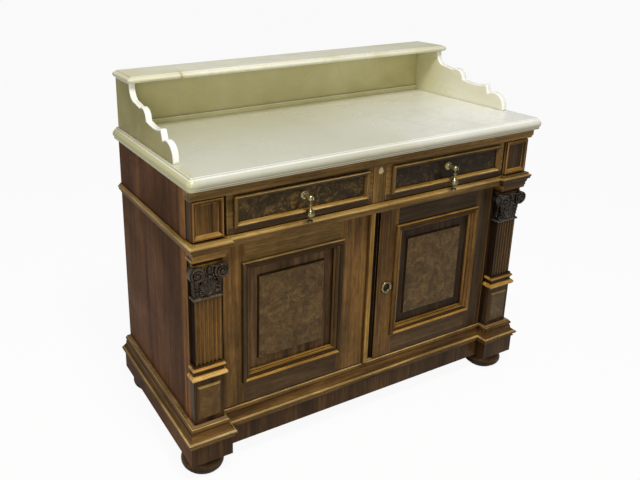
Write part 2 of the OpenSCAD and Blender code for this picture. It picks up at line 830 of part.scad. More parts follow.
// Panel in the rebate, with a raised and bevelled field.
module right_door_panel() {
    field_inset = 43;
    color(burl) {
        board(opening_x + [-panel_laps, panel_laps], [door_back_d, panel_face_d],
            opening_z + [-panel_laps, panel_laps]);
        translate([opening_mid_x, fy(panel_face_d), opening_mid_z])
            fielded(opening_w - 2 * field_inset, opening_h - 2 * field_inset, 5, 7);
    }
}

module left_door_panel() {
    mirror([1, 0, 0])
        right_door_panel();
}

// Rounded strip along the edge of the left door.
module meeting_strip() {
    x = [left_meet_x - strip_w, left_meet_x];
    color(golden)
        translate([0, fy(door_face_d), door_z[0]])
            linear_extrude(height = door_z[1] - door_z[0])
                polygon(concat([[x[0], 0], [x[0], -strip_proud + 4]],
                    arc(x[0] + 4, 4 - strip_proud, 4, 180, 270, 3),
                    arc(x[1] - 4, 4 - strip_proud, 4, 270, 360, 3), [[x[1], 0]]));
}

// A brass plate on the plan that all the pivot plates share, between two heights.
module pivot_plate(z0, z1) {
    board(pivot_plate_x, pivot_plate_d, [z0, z1]);
}

module pivot_cylinder(r, z0, z1) {
    translate([pivot_x, fy(pivot_d), z0])
        cylinder(r = r, h = z1 - z0);
}

// Plates let into the top and bottom edges of a door, each with a pin into the socket beyond the gap.
module right_door_pivots() {
    pin_h = door_gap + pivot_plate_t - 0.4;
    color(brass) {
        pivot_plate(door_z[1] - pivot_plate_t, door_z[1]);
        pivot_cylinder(pivot_pin_r, door_z[1], door_z[1] + pin_h);
        pivot_plate(door_z[0], door_z[0] + pivot_plate_t);
        pivot_cylinder(pivot_pin_r, door_z[0] - pin_h, door_z[0]);
    }
}

module left_door_pivots() {
    mirror([1, 0, 0])
        right_door_pivots();
}

// Drilled plates let into the belt rail and the bottom board.
module pivot_sockets() {
    color(brass)
        both_sides()
            for (z = [[belt_z, belt_z + pivot_plate_t], [plinth_top - pivot_plate_t, plinth_top]])
                difference() {
                    pivot_plate(z[0], z[1]);
                    pivot_cylinder(pivot_pin_r + pin_fit, z[0] - 1, z[1] + 1);
                }
}

// ---- bolts and lock ----

lock_t = 12;
lock_bolt_h = 16;
lock_x = [right_meet_x + 2, right_meet_x + 60];
lock_d = [door_back_d - lock_t, door_back_d];

// Rim lock behind the meeting stile of the right door, open at the end where its bolt comes out.
module door_lock() {
    wall = 2;
    color(steel)
        difference() {
            board(lock_x, lock_d, [lock_z - 32, lock_z + 32]);
            board([lock_x[0] - 1, lock_x[1] - wall], [lock_d[0] + wall, lock_d[1] - wall - 1],
                [lock_z - lock_bolt_h / 2 - slide_gap, lock_z + lock_bolt_h / 2 + slide_gap]);
        }
}

// Its bolt slides behind the stile of the left door.
module lock_bolt() {
    color(brass)
        board([lock_x[0] - 1, lock_x[1] - 2 - bolt_travel],
            [lock_d[0] + 2 + slide_gap, lock_d[1] - 3 - slide_gap],
            [lock_z - lock_bolt_h / 2, lock_z + lock_bolt_h / 2]);
}

// Ring round the keyhole, which is a round eye over a narrow slot.
module escutcheon() {
    r = escutcheon_dia / 2;
    x = right_meet_x + 57;
    color(brass)
        translate([x, fy(door_face_d), lock_z])
            rotate([90, 0, 0])
                difference() {
                    rotate_extrude()
                        polygon(concat([[0, 0], [r, 0], [r, 1]], arc(r - 3.5, 1.5, 3.5, 0, 150, 5),
                            [[r * 0.58, 1.5], [0, 1.5]]));
                    translate([0, 3, -1])
                        cylinder(r = 3.4, h = 6);
                    translate([-1.6, -8, -1])
                        cube([3.2, 11, 6]);
                }
}

bolt_x = -60;
bolt_r = 3;
// Plate with two staples on the back of the left door; the bolt runs through them.
module left_door_bolt_plate() {
    z = door_z[1] - 50;
    axis_d = door_back_d - 8;
    color(brass)
        difference() {
            union() {
                board([bolt_x - 11, bolt_x + 11], [door_back_d - 2, door_back_d], [z - 28, z + 44]);
                for (dz = [-24, 30])
                    board([bolt_x - 7, bolt_x + 7], [axis_d - 6, door_back_d - 1], [z + dz, z + dz + 10]);
            }
            translate([bolt_x, fy(axis_d), z - 40])
                cylinder(r = bolt_r + pin_fit, h = 100);
        }
}

// Its top end slides up behind the belt rail.
module left_door_bolt() {
    z = door_z[1] - 50;
    color(brass) {
        translate([bolt_x, fy(door_back_d - 8), z - 26])
            cylinder(r = bolt_r, h = 72);
        translate([bolt_x, fy(door_back_d - 8), z - 4])
            rotate([90, 0, 0])
                mirror([0, 0, 1])
                    cylinder(r = 2.5, h = 12);
    }
}

marble_slab();
splashback();
splash_strip();
gallery_left();
gallery_right();
marble_shelf();
top_rail();
side_left();
side_right();
back_panel();
corner_post_left();
corner_post_right();
corner_block_left();
corner_block_right();
centre_stile();
drawer_divider();
belt_moulding();
belt_rail();
dust_board();
drawer_runners();
pilaster_left();
pilaster_right();
capital_left();
capital_right();
pedestal_left();
pedestal_right();
plinth();
foot_blocks();
bottom_board();
cupboard_shelf();
shelf_bearers();
bun_feet_front();
bun_feet_back();
pivot_sockets();
left_drawer_front();
left_drawer_moulding();
left_drawer_box();
left_drawer_bottom();
left_pull_mount();
left_pull_drop();
right_drawer_front();
right_drawer_moulding();
right_drawer_box();
right_drawer_bottom();
right_pull_mount();
right_pull_drop();
left_door_frame();
left_door_moulding();
left_door_panel();
left_door_pivots();
meeting_strip();
left_door_bolt_plate();
left_door_bolt();
right_door_frame();
right_door_moulding();
right_door_panel();
right_door_pivots();
door_lock();
lock_bolt();
escutcheon();
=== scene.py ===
import json
import math
import random

import bpy
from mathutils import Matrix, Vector

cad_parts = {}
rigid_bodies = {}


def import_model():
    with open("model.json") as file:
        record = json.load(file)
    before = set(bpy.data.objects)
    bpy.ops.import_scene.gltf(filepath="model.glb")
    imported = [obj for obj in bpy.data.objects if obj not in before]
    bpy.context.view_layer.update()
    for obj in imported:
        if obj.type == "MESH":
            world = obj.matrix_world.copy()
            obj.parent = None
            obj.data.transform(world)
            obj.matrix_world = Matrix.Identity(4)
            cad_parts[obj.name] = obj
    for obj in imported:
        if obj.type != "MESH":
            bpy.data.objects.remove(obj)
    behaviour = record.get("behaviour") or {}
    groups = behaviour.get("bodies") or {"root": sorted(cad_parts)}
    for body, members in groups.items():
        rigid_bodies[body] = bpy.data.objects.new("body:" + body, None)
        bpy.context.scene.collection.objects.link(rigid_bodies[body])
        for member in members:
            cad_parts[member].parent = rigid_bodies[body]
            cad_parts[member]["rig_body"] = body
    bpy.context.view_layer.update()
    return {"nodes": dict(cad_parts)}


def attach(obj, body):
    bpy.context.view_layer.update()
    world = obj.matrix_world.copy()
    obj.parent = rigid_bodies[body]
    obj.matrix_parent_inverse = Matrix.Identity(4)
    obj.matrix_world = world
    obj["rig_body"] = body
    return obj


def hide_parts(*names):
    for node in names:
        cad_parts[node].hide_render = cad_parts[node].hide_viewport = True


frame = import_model()
backY = 0.27  # plane of the back; depths below are measured forward from it


# ---- stage: camera, floor and light ----

cameraSetup = {
    "wide": 640, "tall": 480, "focal": 684.65, "centreX": 224.0, "centreY": 163.0,  # pixels
    "place": (-1.15348, -1.58526, 1.36058),
    "yaw": 26.81, "pitch": 17.91, "roll": -0.72,  # degrees
    "sensor": 36, "farthest": 50,
}


def makeCamera(setup):
    yaw, pitch, roll = (math.radians(setup[k]) for k in ("yaw", "pitch", "roll"))
    ahead = Vector((math.sin(yaw) * math.cos(pitch), math.cos(yaw) * math.cos(pitch), -math.sin(pitch)))
    across = Vector((math.cos(yaw), -math.sin(yaw), 0))
    up = across.cross(ahead)
    rolledX = across * math.cos(roll) + up * math.sin(roll)
    rolledY = -across * math.sin(roll) + up * math.cos(roll)
    bpy.ops.object.camera_add(location=setup["place"])
    camera = bpy.context.object
    camera.name = "photoCamera"
    turn = camera.matrix_world.to_3x3()
    turn.col[0], turn.col[1], turn.col[2] = rolledX, rolledY, -ahead
    camera.rotation_euler = turn.to_euler()
    camera.data.sensor_width = setup["sensor"]
    camera.data.lens = setup["focal"] * setup["sensor"] / setup["wide"]
    camera.data.shift_x = (setup["wide"] / 2 - setup["centreX"]) / setup["wide"]
    camera.data.shift_y = (setup["centreY"] - setup["tall"] / 2) / setup["wide"]
    camera.data.clip_end = setup["farthest"]
    bpy.context.scene.camera = camera


def tint(red, green, blue):  # 0 to 255 as seen on a screen, to the linear values that the shaders take
    return tuple(((c / 255 + 0.055) / 1.055) ** 2.4 if c > 10 else c / 3295 for c in (red, green, blue)) + (1,)


lightSetup = {
    "key": {"place": (-0.5, -1.3, 3.3), "aim": (0, -0.05, 0.6), "size": 0.9, "power": 64},
    "front": {"place": (-1.9, -3.1, 1.5), "aim": (0, -0.2, 0.45), "size": 1.2, "power": 29},
    "left": {"place": (-3.2, 0.1, 1.4), "aim": (0, 0, 0.5), "size": 1.6, "power": 6},
}


def makeLights(setup):
    for name, lamp in setup.items():
        bpy.ops.object.light_add(type="AREA", location=lamp["place"])
        light = bpy.context.object
        light.name = name + "Light"
        light.data.shape = "DISK"
        light.data.size = lamp["size"]
        light.data.energy = lamp["power"]
        aim = Vector(lamp["aim"]) - Vector(lamp["place"])
        light.rotation_euler = aim.to_track_quat("-Z", "Y").to_euler()


def whiteRays(nodes, links):  # 1 for the rays that see the background straight or through glass
    path = nodes.new("ShaderNodeLightPath")
    either = nodes.new("ShaderNodeMath")
    either.operation = "MAXIMUM"
    links.new(path.outputs["Is Camera Ray"], either.inputs[0])
    links.new(path.outputs["Is Transmission Ray"], either.inputs[1])
    return either.outputs[0]


surroundings = {
    "softLight": (1, 0.985, 0.96, 1), "softStrength": 0.3,
    "floorSize": 90, "floorBelow": 0.0005, "floorColour": (0.86, 0.86, 0.85, 1), "floorRough": 0.9,
    "floorWhite": 0.93,  # how far the floor goes over to the background's white
}


def makeSurroundings(setup):
    world = bpy.context.scene.world or bpy.data.worlds.new("studio")
    bpy.context.scene.world = world
    world.use_nodes = True
    nodes, links = world.node_tree.nodes, world.node_tree.links
    nodes.clear()
    seen, soft = nodes.new("ShaderNodeBackground"), nodes.new("ShaderNodeBackground")
    seen.inputs["Color"].default_value = (1, 1, 1, 1)
    soft.inputs["Color"].default_value = setup["softLight"]
    soft.inputs["Strength"].default_value = setup["softStrength"]
    mix, output = nodes.new("ShaderNodeMixShader"), nodes.new("ShaderNodeOutputWorld")
    links.new(whiteRays(nodes, links), mix.inputs[0])
    links.new(soft.outputs[0], mix.inputs[1])
    links.new(seen.outputs[0], mix.inputs[2])
    links.new(mix.outputs[0], output.inputs["Surface"])

    bpy.ops.mesh.primitive_plane_add(size=setup["floorSize"], location=(0, 0, -setup["floorBelow"]))
    floor = bpy.context.object
    floor.name = "floor"
    material = bpy.data.materials.new("paleFloor")
    material.use_nodes = True
    nodes, links = material.node_tree.nodes, material.node_tree.links
    shader = nodes["Principled BSDF"]
    shader.inputs["Base Color"].default_value = setup["floorColour"]
    shader.inputs["Roughness"].default_value = setup["floorRough"]
    glow, mix = nodes.new("ShaderNodeEmission"), nodes.new("ShaderNodeMixShader")
    share = nodes.new("ShaderNodeMath")
    share.operation = "MULTIPLY"
    share.inputs[1].default_value = setup["floorWhite"]
    links.new(whiteRays(nodes, links), share.inputs[0])
    links.new(share.outputs[0], mix.inputs[0])
    links.new(shader.outputs[0], mix.inputs[1])
    links.new(glow.outputs[0], mix.inputs[2])
    links.new(mix.outputs[0], nodes["Material Output"].inputs["Surface"])
    floor.data.materials.append(material)


makeCamera(cameraSetup)
makeLights(lightSetup)
makeSurroundings(surroundings)
bpy.context.scene.view_settings.view_transform = "Standard"
print("stage ready")


# ---- finishes ----

def startMaterial(name, roughness):
    material = bpy.data.materials.new(name)
    material.use_nodes = True
    nodes, links = material.node_tree.nodes, material.node_tree.links
    shader = nodes["Principled BSDF"]
    shader.inputs["Roughness"].default_value = roughness
    return material, nodes, links, shader


def stretchedPoint(nodes, links, scale, shift=None):  # the surface point, drawn out along the grain
    point, mapping = nodes.new("ShaderNodeTexCoord"), nodes.new("ShaderNodeMapping")
    mapping.inputs["Scale"].default_value = scale
    links.new(point.outputs["Object"], mapping.inputs["Vector"])
    if shift is not None:
        links.new(shift, mapping.inputs["Location"])
    return mapping.outputs["Vector"]


def noise(nodes, links, vector, detail, rough, distortion=0.0, scale=1.0):
    texture = nodes.new("ShaderNodeTexNoise")
    texture.inputs["Scale"].default_value = scale
    texture.inputs["Detail"].default_value = detail
    texture.inputs["Roughness"].default_value = rough
    texture.inputs["Distortion"].default_value = distortion
    links.new(vector, texture.inputs["Vector"])
    return texture.outputs["Fac"]


def maths(nodes, links, operation, first, second=None):
    node = nodes.new("ShaderNodeMath")
    node.operation = operation
    for socket, value in zip(node.inputs, (first, second)):
        if value is None:
            continue
        if isinstance(value, (int, float)):
            socket.default_value = value
        else:
            links.new(value, socket)
    return node.outputs[0]


def product(nodes, links, first, second):
    return maths(nodes, links, "MULTIPLY", first, second)


def blend(nodes, links, first, share, second):  # a share of the first and the rest of the second
    rest = product(nodes, links, second, 1 - share)
    return maths(nodes, links, "ADD", product(nodes, links, first, share), rest)


def remap(nodes, links, value, low, high, toLow, toHigh):
    node = nodes.new("ShaderNodeMapRange")
    for socket, number in zip(list(node.inputs)[1:5], (low, high, toLow, toHigh)):
        socket.default_value = number
    links.new(value, node.inputs["Value"])
    return node.outputs["Result"]


def ramp(nodes, links, value, stops):
    node = nodes.new("ShaderNodeValToRGB")
    band = node.color_ramp
    while len(band.elements) < len(stops):
        band.elements.new(0.5)
    for element, (place, colour) in zip(band.elements, stops):
        element.position, element.color = place, colour
    links.new(value, node.inputs["Fac"])
    return node.outputs["Color"]


def mixColour(nodes, links, share, first, second):
    node = nodes.new("ShaderNodeMix")
    node.data_type = "RGBA"
    for socket, value in ((node.inputs["Factor"], share), (node.inputs[6], first), (node.inputs[7], second)):
        if isinstance(value, (int, float, tuple)):
            socket.default_value = value
        else:
            links.new(value, socket)
    return node.outputs[2]


def attribute(nodes, name):
    node = nodes.new("ShaderNodeAttribute")
    node.attribute_name = name
    return node.outputs["Fac"]


def bump(nodes, links, shader, height, strength, distance):
    node = nodes.new("ShaderNodeBump")
    node.inputs["Strength"].default_value = strength
    node.inputs["Distance"].default_value = distance
    links.new(height, node.inputs["Height"])
    links.new(node.outputs["Normal"], shader.inputs["Normal"])


cornerShading = {"reach": 0.011, "samples": 6, "fullBelow": 0.35, "noneAbove": 0.85}


def corners(nodes, links, strength, reach=cornerShading["reach"]):  # painted shade in corners and recesses, along with the old wax and dirt that gather there
    hidden = nodes.new("ShaderNodeAmbientOcclusion")
    hidden.samples = cornerShading["samples"]
    hidden.inputs["Distance"].default_value = reach
    return remap(nodes, links, hidden.outputs["AO"], cornerShading["fullBelow"], cornerShading["noneAbove"],
                 strength, 0.0)


def alongGrain(grain, across, along):  # a scale that runs slowly along one axis and fast across the others
    return tuple(along if axis == grain else across for axis in "XYZ")


varnishTint = (1.0, 0.8, 0.55, 1)  # old shellac gives warm reflections

woodFinish = {
    "bands": (16, 1.1),               # broad light and dark bands, per metre across and along the grain
    "streaks": (120, 4),              # fine streaks
    "pores": (900, 38),               # open pores
    "poreDark": 0.5,
    "clouds": 5, "boardShift": 7.3,   # old dark patches; how far the pattern jumps from board to board
    "wornLight": tint(176, 130, 64),  # rubbed edges, partly a painted highlight along them
    "paleEdgeAndHighlight": tint(224, 200, 138),  # paler still, partly a painted highlight, where brooms and feet have rubbed them
    # the colour of the painted shade in corners, with the old wax and dirt there
    "shadeAndDirt": tint(16, 10, 6),
}


def grainNoise(nodes, links, grain, scales, place, *character):
    return noise(nodes, links, stretchedPoint(nodes, links, alongGrain(grain, *scales), place), *character)


def spotMask(nodes, links, place, size):  # 1 inside a ragged spot about a place on the piece
    texture, away = nodes.new("ShaderNodeTexNoise"), nodes.new("ShaderNodeVectorMath")
    texture.inputs["Scale"].default_value = 0.7 / size
    point = stretchedPoint(nodes, links, (1, 1, 1))
    links.new(point, texture.inputs["Vector"])
    away.operation = "DISTANCE"
    away.inputs[1].default_value = place
    links.new(point, away.inputs[0])
    edge = product(nodes, links, texture.outputs["Fac"], size)
    ragged = maths(nodes, links, "ADD", away.outputs["Value"], edge)
    return remap(nodes, links, ragged, size * 1.35, size * 1.55, 1.0, 0.0)


def makeWood(name, grain, dark, body, light, polish=0.36, patina=0.4, wear=0.75, gloss=0.16,
             worn="wornLight", chip=None):
    material, nodes, links, shader = startMaterial(name, polish)
    shift = nodes.new("ShaderNodeCombineXYZ")
    finish = woodFinish
    board = product(nodes, links, attribute(nodes, "board"), finish["boardShift"])
    for socket in shift.inputs:
        links.new(board, socket)
    place = shift.outputs[0]
    bands = grainNoise(nodes, links, grain, finish["bands"], place, 5, 0.6, 0.9)
    streaks = grainNoise(nodes, links, grain, finish["streaks"], place, 5, 0.65, 0.3)
    poreHeight = grainNoise(nodes, links, grain, finish["pores"], None, 2, 0.5)
    clouds = noise(nodes, links, stretchedPoint(nodes, links, (finish["clouds"],) * 3, place), 4, 0.6, 0.5)
    tone = blend(nodes, links, bands, 0.55, streaks)
    colour = ramp(nodes, links, tone, [(0.36, dark), (0.5, body), (0.63, light)])
    darkened = tuple(c * 0.5 for c in dark[:3]) + (1,)
    poreMask = remap(nodes, links, poreHeight, 0.36, 0.5, finish["poreDark"], 0.0)
    colour = mixColour(nodes, links, poreMask, colour, darkened)
    smoke = remap(nodes, links, clouds, 0.32, 0.68, patina, 0.0)
    colour = mixColour(nodes, links, smoke, colour, darkened)
    # lighter bevelled edges: rubbed wear, partly a painted highlight along them
    rubbedAndHighlit = product(nodes, links, attribute(nodes, "edgeWearAndHighlight"),
                     remap(nodes, links, streaks, 0.36, 0.6, 0.45 * wear, wear))
    colour = mixColour(nodes, links, rubbedAndHighlit, colour, finish[worn])
    # painted shade in corners, with old wax and dirt
    colour = mixColour(nodes, links, corners(nodes, links, 0.85), colour, finish["shadeAndDirt"])
    if chip:
        spot = spotMask(nodes, links, chip["place"], chip["size"])
        colour = mixColour(nodes, links, spot, colour, chip["colour"])
    links.new(colour, shader.inputs["Base Color"])
    links.new(remap(nodes, links, clouds, 0.3, 0.7, polish + 0.1, polish - 0.06), shader.inputs["Roughness"])
    shader.inputs["Specular IOR Level"].default_value = gloss
    shader.inputs["Specular Tint"].default_value = varnishTint
    height = maths(nodes, links, "ADD", poreHeight, product(nodes, links, streaks, 0.8))
    bump(nodes, links, shader, height, 0.28, 0.0006)
    return material


burlFinish = {"curls": 26, "flecks": 95, "clouds": 9, "eyes": 70, "shadeAndDirt": tint(14, 10, 6)}  # patterns per metre


def makeBurl(name, dark, body, light, size=1.0, polish=0.34, swirl=1.6, smoky=0.5, wear=0.7):
    material, nodes, links, shader = startMaterial(name, polish)
    place = stretchedPoint(nodes, links, (size, size, size))
    finish = burlFinish
    curls = noise(nodes, links, place, 6, 0.62, swirl, finish["curls"])
    flecks = noise(nodes, links, place, 3, 0.6, 2.4, finish["flecks"])
    clouds = noise(nodes, links, place, 3, 0.5, 0.6, finish["clouds"])
    eyes = nodes.new("ShaderNodeTexVoronoi")
    eyes.inputs["Scale"].default_value = finish["eyes"]
    eyes.inputs["Randomness"].default_value = 1
    links.new(place, eyes.inputs["Vector"])
    tone = blend(nodes, links, curls, 0.6, flecks)
    colour = ramp(nodes, links, tone, [(0.34, dark), (0.5, body), (0.64, light)])
    darkened = tuple(c * 0.45 for c in dark[:3]) + (1,)
    eyeMask = product(nodes, links, remap(nodes, links, eyes.outputs["Distance"], 0.05, 0.25, 0.75, 0.0),
                      remap(nodes, links, clouds, 0.45, 0.6, 0.0, 1.0))
    colour = mixColour(nodes, links, eyeMask, colour, darkened)
    colour = mixColour(nodes, links, remap(nodes, links, clouds, 0.34, 0.62, smoky, 0.0), colour, darkened)
    # lighter bevelled edges: rubbed wear, partly a painted highlight along them
    rubbedAndHighlit = product(nodes, links, attribute(nodes, "edgeWearAndHighlight"),
                     remap(nodes, links, curls, 0.4, 0.6, 0.2 * wear, wear))
    colour = mixColour(nodes, links, rubbedAndHighlit, colour, woodFinish["wornLight"])
    # painted shade in corners, with old wax and dirt
    colour = mixColour(nodes, links, corners(nodes, links, 0.85), colour, finish["shadeAndDirt"])
    links.new(colour, shader.inputs["Base Color"])
    shader.inputs["Specular IOR Level"].default_value = 0.26
    shader.inputs["Specular Tint"].default_value = varnishTint
    bump(nodes, links, shader, flecks, 0.12, 0.0005)
    return material


marbleFinish = {
    "drift": 2.6, "fine": 7, "clouds": 3.2, "stains": 5.5, "grit": 160,  # patterns per metre
    "broadVein": tint(176, 174, 150), "fineVein": tint(186, 182, 158), "stain": tint(206, 198, 150),
    "grain": tint(190, 188, 170), "wornEdge": tint(248, 248, 244),
    "shadeAndDirt": tint(120, 112, 76), "shadeAndDirtReach": 0.01,
    "crackStain": tint(196, 170, 96), "crackLine": tint(104, 84, 44),
}


def yellowed(nodes, links, colour, point, clouds, spread):  # painted shade: the colour goes over to another along an axis
    middle = spread["ragged"] / 2
    ragged = maths(nodes, links, "ADD", point.outputs[spread["axis"]],
                   product(nodes, links, clouds, spread["ragged"]))
    share = remap(nodes, links, ragged, spread["from"] + middle, spread["to"] + middle, 0.0, spread["share"])
    return mixColour(nodes, links, share, colour, spread["colour"])


def cracked(nodes, links, colour, point, fine, crack):  # a crack that wanders along Y, with a stain about it
    line = maths(nodes, links, "SUBTRACT", point.outputs["X"], crack["x"] + crack["wander"] / 2)
    line = maths(nodes, links, "ADD", product(nodes, links, fine, crack["wander"]), line)
    away = maths(nodes, links, "ABSOLUTE", line)
    near = remap(nodes, links, point.outputs["Y"], crack["deepest"], crack["front"], 0.0, 1.0)
    for width, strength, shade in ((crack["stain"], 0.5, marbleFinish["crackStain"]),
                                   (crack["line"], 0.8, marbleFinish["crackLine"])):
        mask = product(nodes, links, remap(nodes, links, away, 0.0, width, strength, 0.0), near)
        colour = mixColour(nodes, links, mask, colour, shade)
    return colour


def makeMarble(name, pale, body, warm, crack=None, paintedShades=()):
    material, nodes, links, shader = startMaterial(name, 0.24)
    place = stretchedPoint(nodes, links, (1, 1, 1))
    finish = marbleFinish
    drift = noise(nodes, links, place, 5, 0.6, 1.4, finish["drift"])
    fine = noise(nodes, links, place, 6, 0.65, 2.2, finish["fine"])
    clouds = noise(nodes, links, place, 4, 0.55, 0.4, finish["clouds"])
    stain = noise(nodes, links, place, 3, 0.6, 0.8, finish["stains"])
    grit = noise(nodes, links, place, 3, 0.6, 0.0, finish["grit"])

    def vein(source, width, strength):  # a thin line where the noise crosses its middle
        off = maths(nodes, links, "ABSOLUTE", maths(nodes, links, "SUBTRACT", source, 0.5))
        return remap(nodes, links, off, 0.0, width, strength, 0.0)

    colour = ramp(nodes, links, clouds, [(0.3, warm), (0.5, body), (0.7, pale)])
    broken = remap(nodes, links, clouds, 0.42, 0.6, 0.1, 1.0)
    broadVein = product(nodes, links, vein(drift, 0.016, 0.2), broken)
    fineVein = product(nodes, links, vein(fine, 0.01, 0.09), broken)
    colour = mixColour(nodes, links, broadVein, colour, finish["broadVein"])
    colour = mixColour(nodes, links, fineVein, colour, finish["fineVein"])
    colour = mixColour(nodes, links, remap(nodes, links, stain, 0.56, 0.74, 0.0, 0.3), colour, finish["stain"])
    colour = mixColour(nodes, links, remap(nodes, links, grit, 0.35, 0.45, 0.08, 0.0), colour, finish["grain"])
    # painted shade in corners and recesses, with dirt
    colour = mixColour(nodes, links, corners(nodes, links, 0.5, finish["shadeAndDirtReach"]), colour, finish["shadeAndDirt"])
    point = nodes.new("ShaderNodeSeparateXYZ")
    links.new(place, point.inputs[0])
    # painted shade spread along axes
    for spread in paintedShades:
        colour = yellowed(nodes, links, colour, point, clouds, spread)
    # paler edges: partly wear, partly a painted highlight
    worn = product(nodes, links, attribute(nodes, "edgeWearAndHighlight"), 0.5)
    colour = mixColour(nodes, links, worn, colour, finish["wornEdge"])
    if crack:
        colour = cracked(nodes, links, colour, point, fine, crack)
    links.new(colour, shader.inputs["Base Color"])
    links.new(remap(nodes, links, clouds, 0.3, 0.7, 0.34, 0.22), shader.inputs["Roughness"])
    shader.inputs["Specular IOR Level"].default_value = 0.35
    bump(nodes, links, shader, grit, 0.05, 0.0004)
    return material


carvedFinish = {"patches": 70, "fibres": (700, 700, 40), "shadeAndDirt": tint(10, 8, 7), "shadeAndDirtReach": 0.005}


def makeCarved(name, deep, body, worn, roughness):  # blackened wood, lighter where it stands proud: partly rubbed wear, partly a painted highlight
    material, nodes, links, shader = startMaterial(name, roughness)
    place = stretchedPoint(nodes, links, (1, 1, 1))
    finish = carvedFinish
    patches = noise(nodes, links, place, 4, 0.6, 0.4, finish["patches"])
    fibres = noise(nodes, links, stretchedPoint(nodes, links, finish["fibres"]), 3, 0.6)
    shape = nodes.new("ShaderNodeNewGeometry")
    proud = remap(nodes, links, shape.outputs["Pointiness"], 0.5, 0.58, 0.0, 1.0)
    colour = ramp(nodes, links, patches, [(0.35, deep), (0.62, body)])
    rubbedAndHighlit = product(nodes, links, proud, remap(nodes, links, patches, 0.38, 0.6, 0.15, 0.9))
    colour = mixColour(nodes, links, rubbedAndHighlit, colour, worn)
    # painted shade in crevices, with dirt
    colour = mixColour(nodes, links, corners(nodes, links, 0.9, finish["shadeAndDirtReach"]), colour, finish["shadeAndDirt"])
    links.new(colour, shader.inputs["Base Color"])
    shader.inputs["Specular IOR Level"].default_value = 0.3
    shader.inputs["Specular Tint"].default_value = varnishTint
    bump(nodes, links, shader, fibres, 0.2, 0.0004)
    return material


metalFinish = {"spots": 160, "film": 45, "shadeAndDirt": tint(22, 16, 8), "shadeAndDirtReach": 0.004}


def makeMetal(name, bright, dark, roughness, tarnish):
    material, nodes, links, shader = startMaterial(name, roughness)
    place = stretchedPoint(nodes, links, (1, 1, 1))
    finish = metalFinish
    spots = noise(nodes, links, place, 4, 0.6, 0.6, finish["spots"])
    film = noise(nodes, links, place, 3, 0.5, 0.3, finish["film"])
    mask = remap(nodes, links, blend(nodes, links, spots, 0.5, film), 0.44, 0.6, 0.0, tarnish)
    colour = mixColour(nodes, links, mask, bright, dark)
    # painted shade in corners, with dirt
    colour = mixColour(nodes, links, corners(nodes, links, 0.6, finish["shadeAndDirtReach"]), colour, finish["shadeAndDirt"])
    links.new(colour, shader.inputs["Base Color"])
    shader.inputs["Metallic"].default_value = 0.85
    links.new(remap(nodes, links, film, 0.3, 0.7, roughness, roughness + 0.15), shader.inputs["Roughness"])
    bump(nodes, links, shader, spots, 0.1, 0.0003)
    return material


woodTones = {  # dark, body and light, 0 to 255
    "walnut": ((52, 34, 16), (112, 80, 40), (150, 110, 56)),
    "rail": ((60, 43, 22), (124, 94, 50), (160, 124, 68)),
    "deep": ((32, 21, 12), (70, 52, 31), (98, 74, 44)),
    "bright": ((122, 84, 34), (200, 152, 70), (244, 204, 124)),
    "low": ((38, 26, 15), (79, 58, 35), (107, 81, 48)),
    "post": ((76, 47, 24), (142, 96, 52), (170, 120, 66)),
    "darkShade": ((24, 16, 11), (44, 30, 20), (64, 45, 30)),
    "side": ((66, 40, 25), (106, 69, 41), (124, 80, 44)),
    "golden": ((98, 68, 26), (168, 127, 54), (212, 172, 90)),
    "rubbedAndHighlit": ((112, 84, 42), (188, 154, 92), (230, 206, 146)),
    "plinth": ((48, 31, 15), (104, 73, 36), (140, 102, 50)),
    "pine": ((122, 92, 56), (160, 124, 80), (190, 156, 108)),
    "recess": ((30, 19, 10), (66, 43, 22), (94, 64, 32)),
    "leftBorder": ((46, 32, 19), (96, 71, 45), (124, 95, 61)),
    "rightBorder": ((28, 21, 16), (58, 45, 34), (78, 61, 44)),
    "foot": ((16, 12, 8), (40, 30, 18), (66, 50, 28)),
    "shadow": ((16, 12, 10), (28, 21, 15), (40, 30, 20)),
}


def woodSet(name, tone, grains, **finish):  # the same wood with its grain along each of some axes
    tones = [tint(*shade) for shade in woodTones[tone]]
    return {grain: makeWood(name + grain, grain, *tones, **finish) for grain in grains}


walnut = woodSet("walnut", "walnut", "XYZ", patina=0.5)
railWood = woodSet("railWalnut", "rail", "XYZ", patina=0.5)
lowRail = woodSet("lowRailWalnut", "low", "X", patina=0.55)["X"]
postWood = woodSet("postWalnut", "post", "Z", polish=0.5, patina=0.4, wear=0.2, gloss=0.06)["Z"]
# painted shade for the angles beside the pilasters
shadedFlankWood = woodSet("shadedFlankWalnut", "darkShade", "Z", polish=0.55, wear=0.25, gloss=0.05)["Z"]
# painted highlight on the beads and noses that face up
beadHighlight = woodSet("beadHighlight", "bright", "X", patina=0.45, polish=0.26, gloss=0.32)
# painted shade: a darker copy of the walnut for faces out of the light and for the right end
shadedWalnut = woodSet("shadedWalnut", "deep", "XZ", patina=0.45, gloss=0.2)
sideWood = woodSet("sideWalnut", "side", "YZ", polish=0.5, patina=0.55, gloss=0.06)
# painted highlight: a golden copy for faces that catch the light
golden = woodSet("goldenMoulding", "golden", "XYZ", patina=0.45, polish=0.3, gloss=0.28)
# painted highlight lines on the upward faces of noses and beads
highlightLine = woodSet("highlightLine", "rubbedAndHighlit", "XY", patina=0.6, polish=0.28, gloss=0.28)
plinthWood = woodSet("plinthWalnut", "plinth", "XY", patina=0.5, wear=0.9, worn="paleEdgeAndHighlight")
pine = woodSet("plainPine", "pine", "XYZ", polish=0.7, patina=0.25, wear=0.1)
recessWood = woodSet("recessWalnut", "recess", "XZ", wear=0.65)
borderWoods = {
    "left": woodSet("leftPanelBorder", "leftBorder", "Z", patina=0.4, wear=0.14, gloss=0.12)["Z"],
    "right": woodSet("rightPanelBorder", "rightBorder", "Z", patina=0.4, wear=0.14, gloss=0.12)["Z"],
}
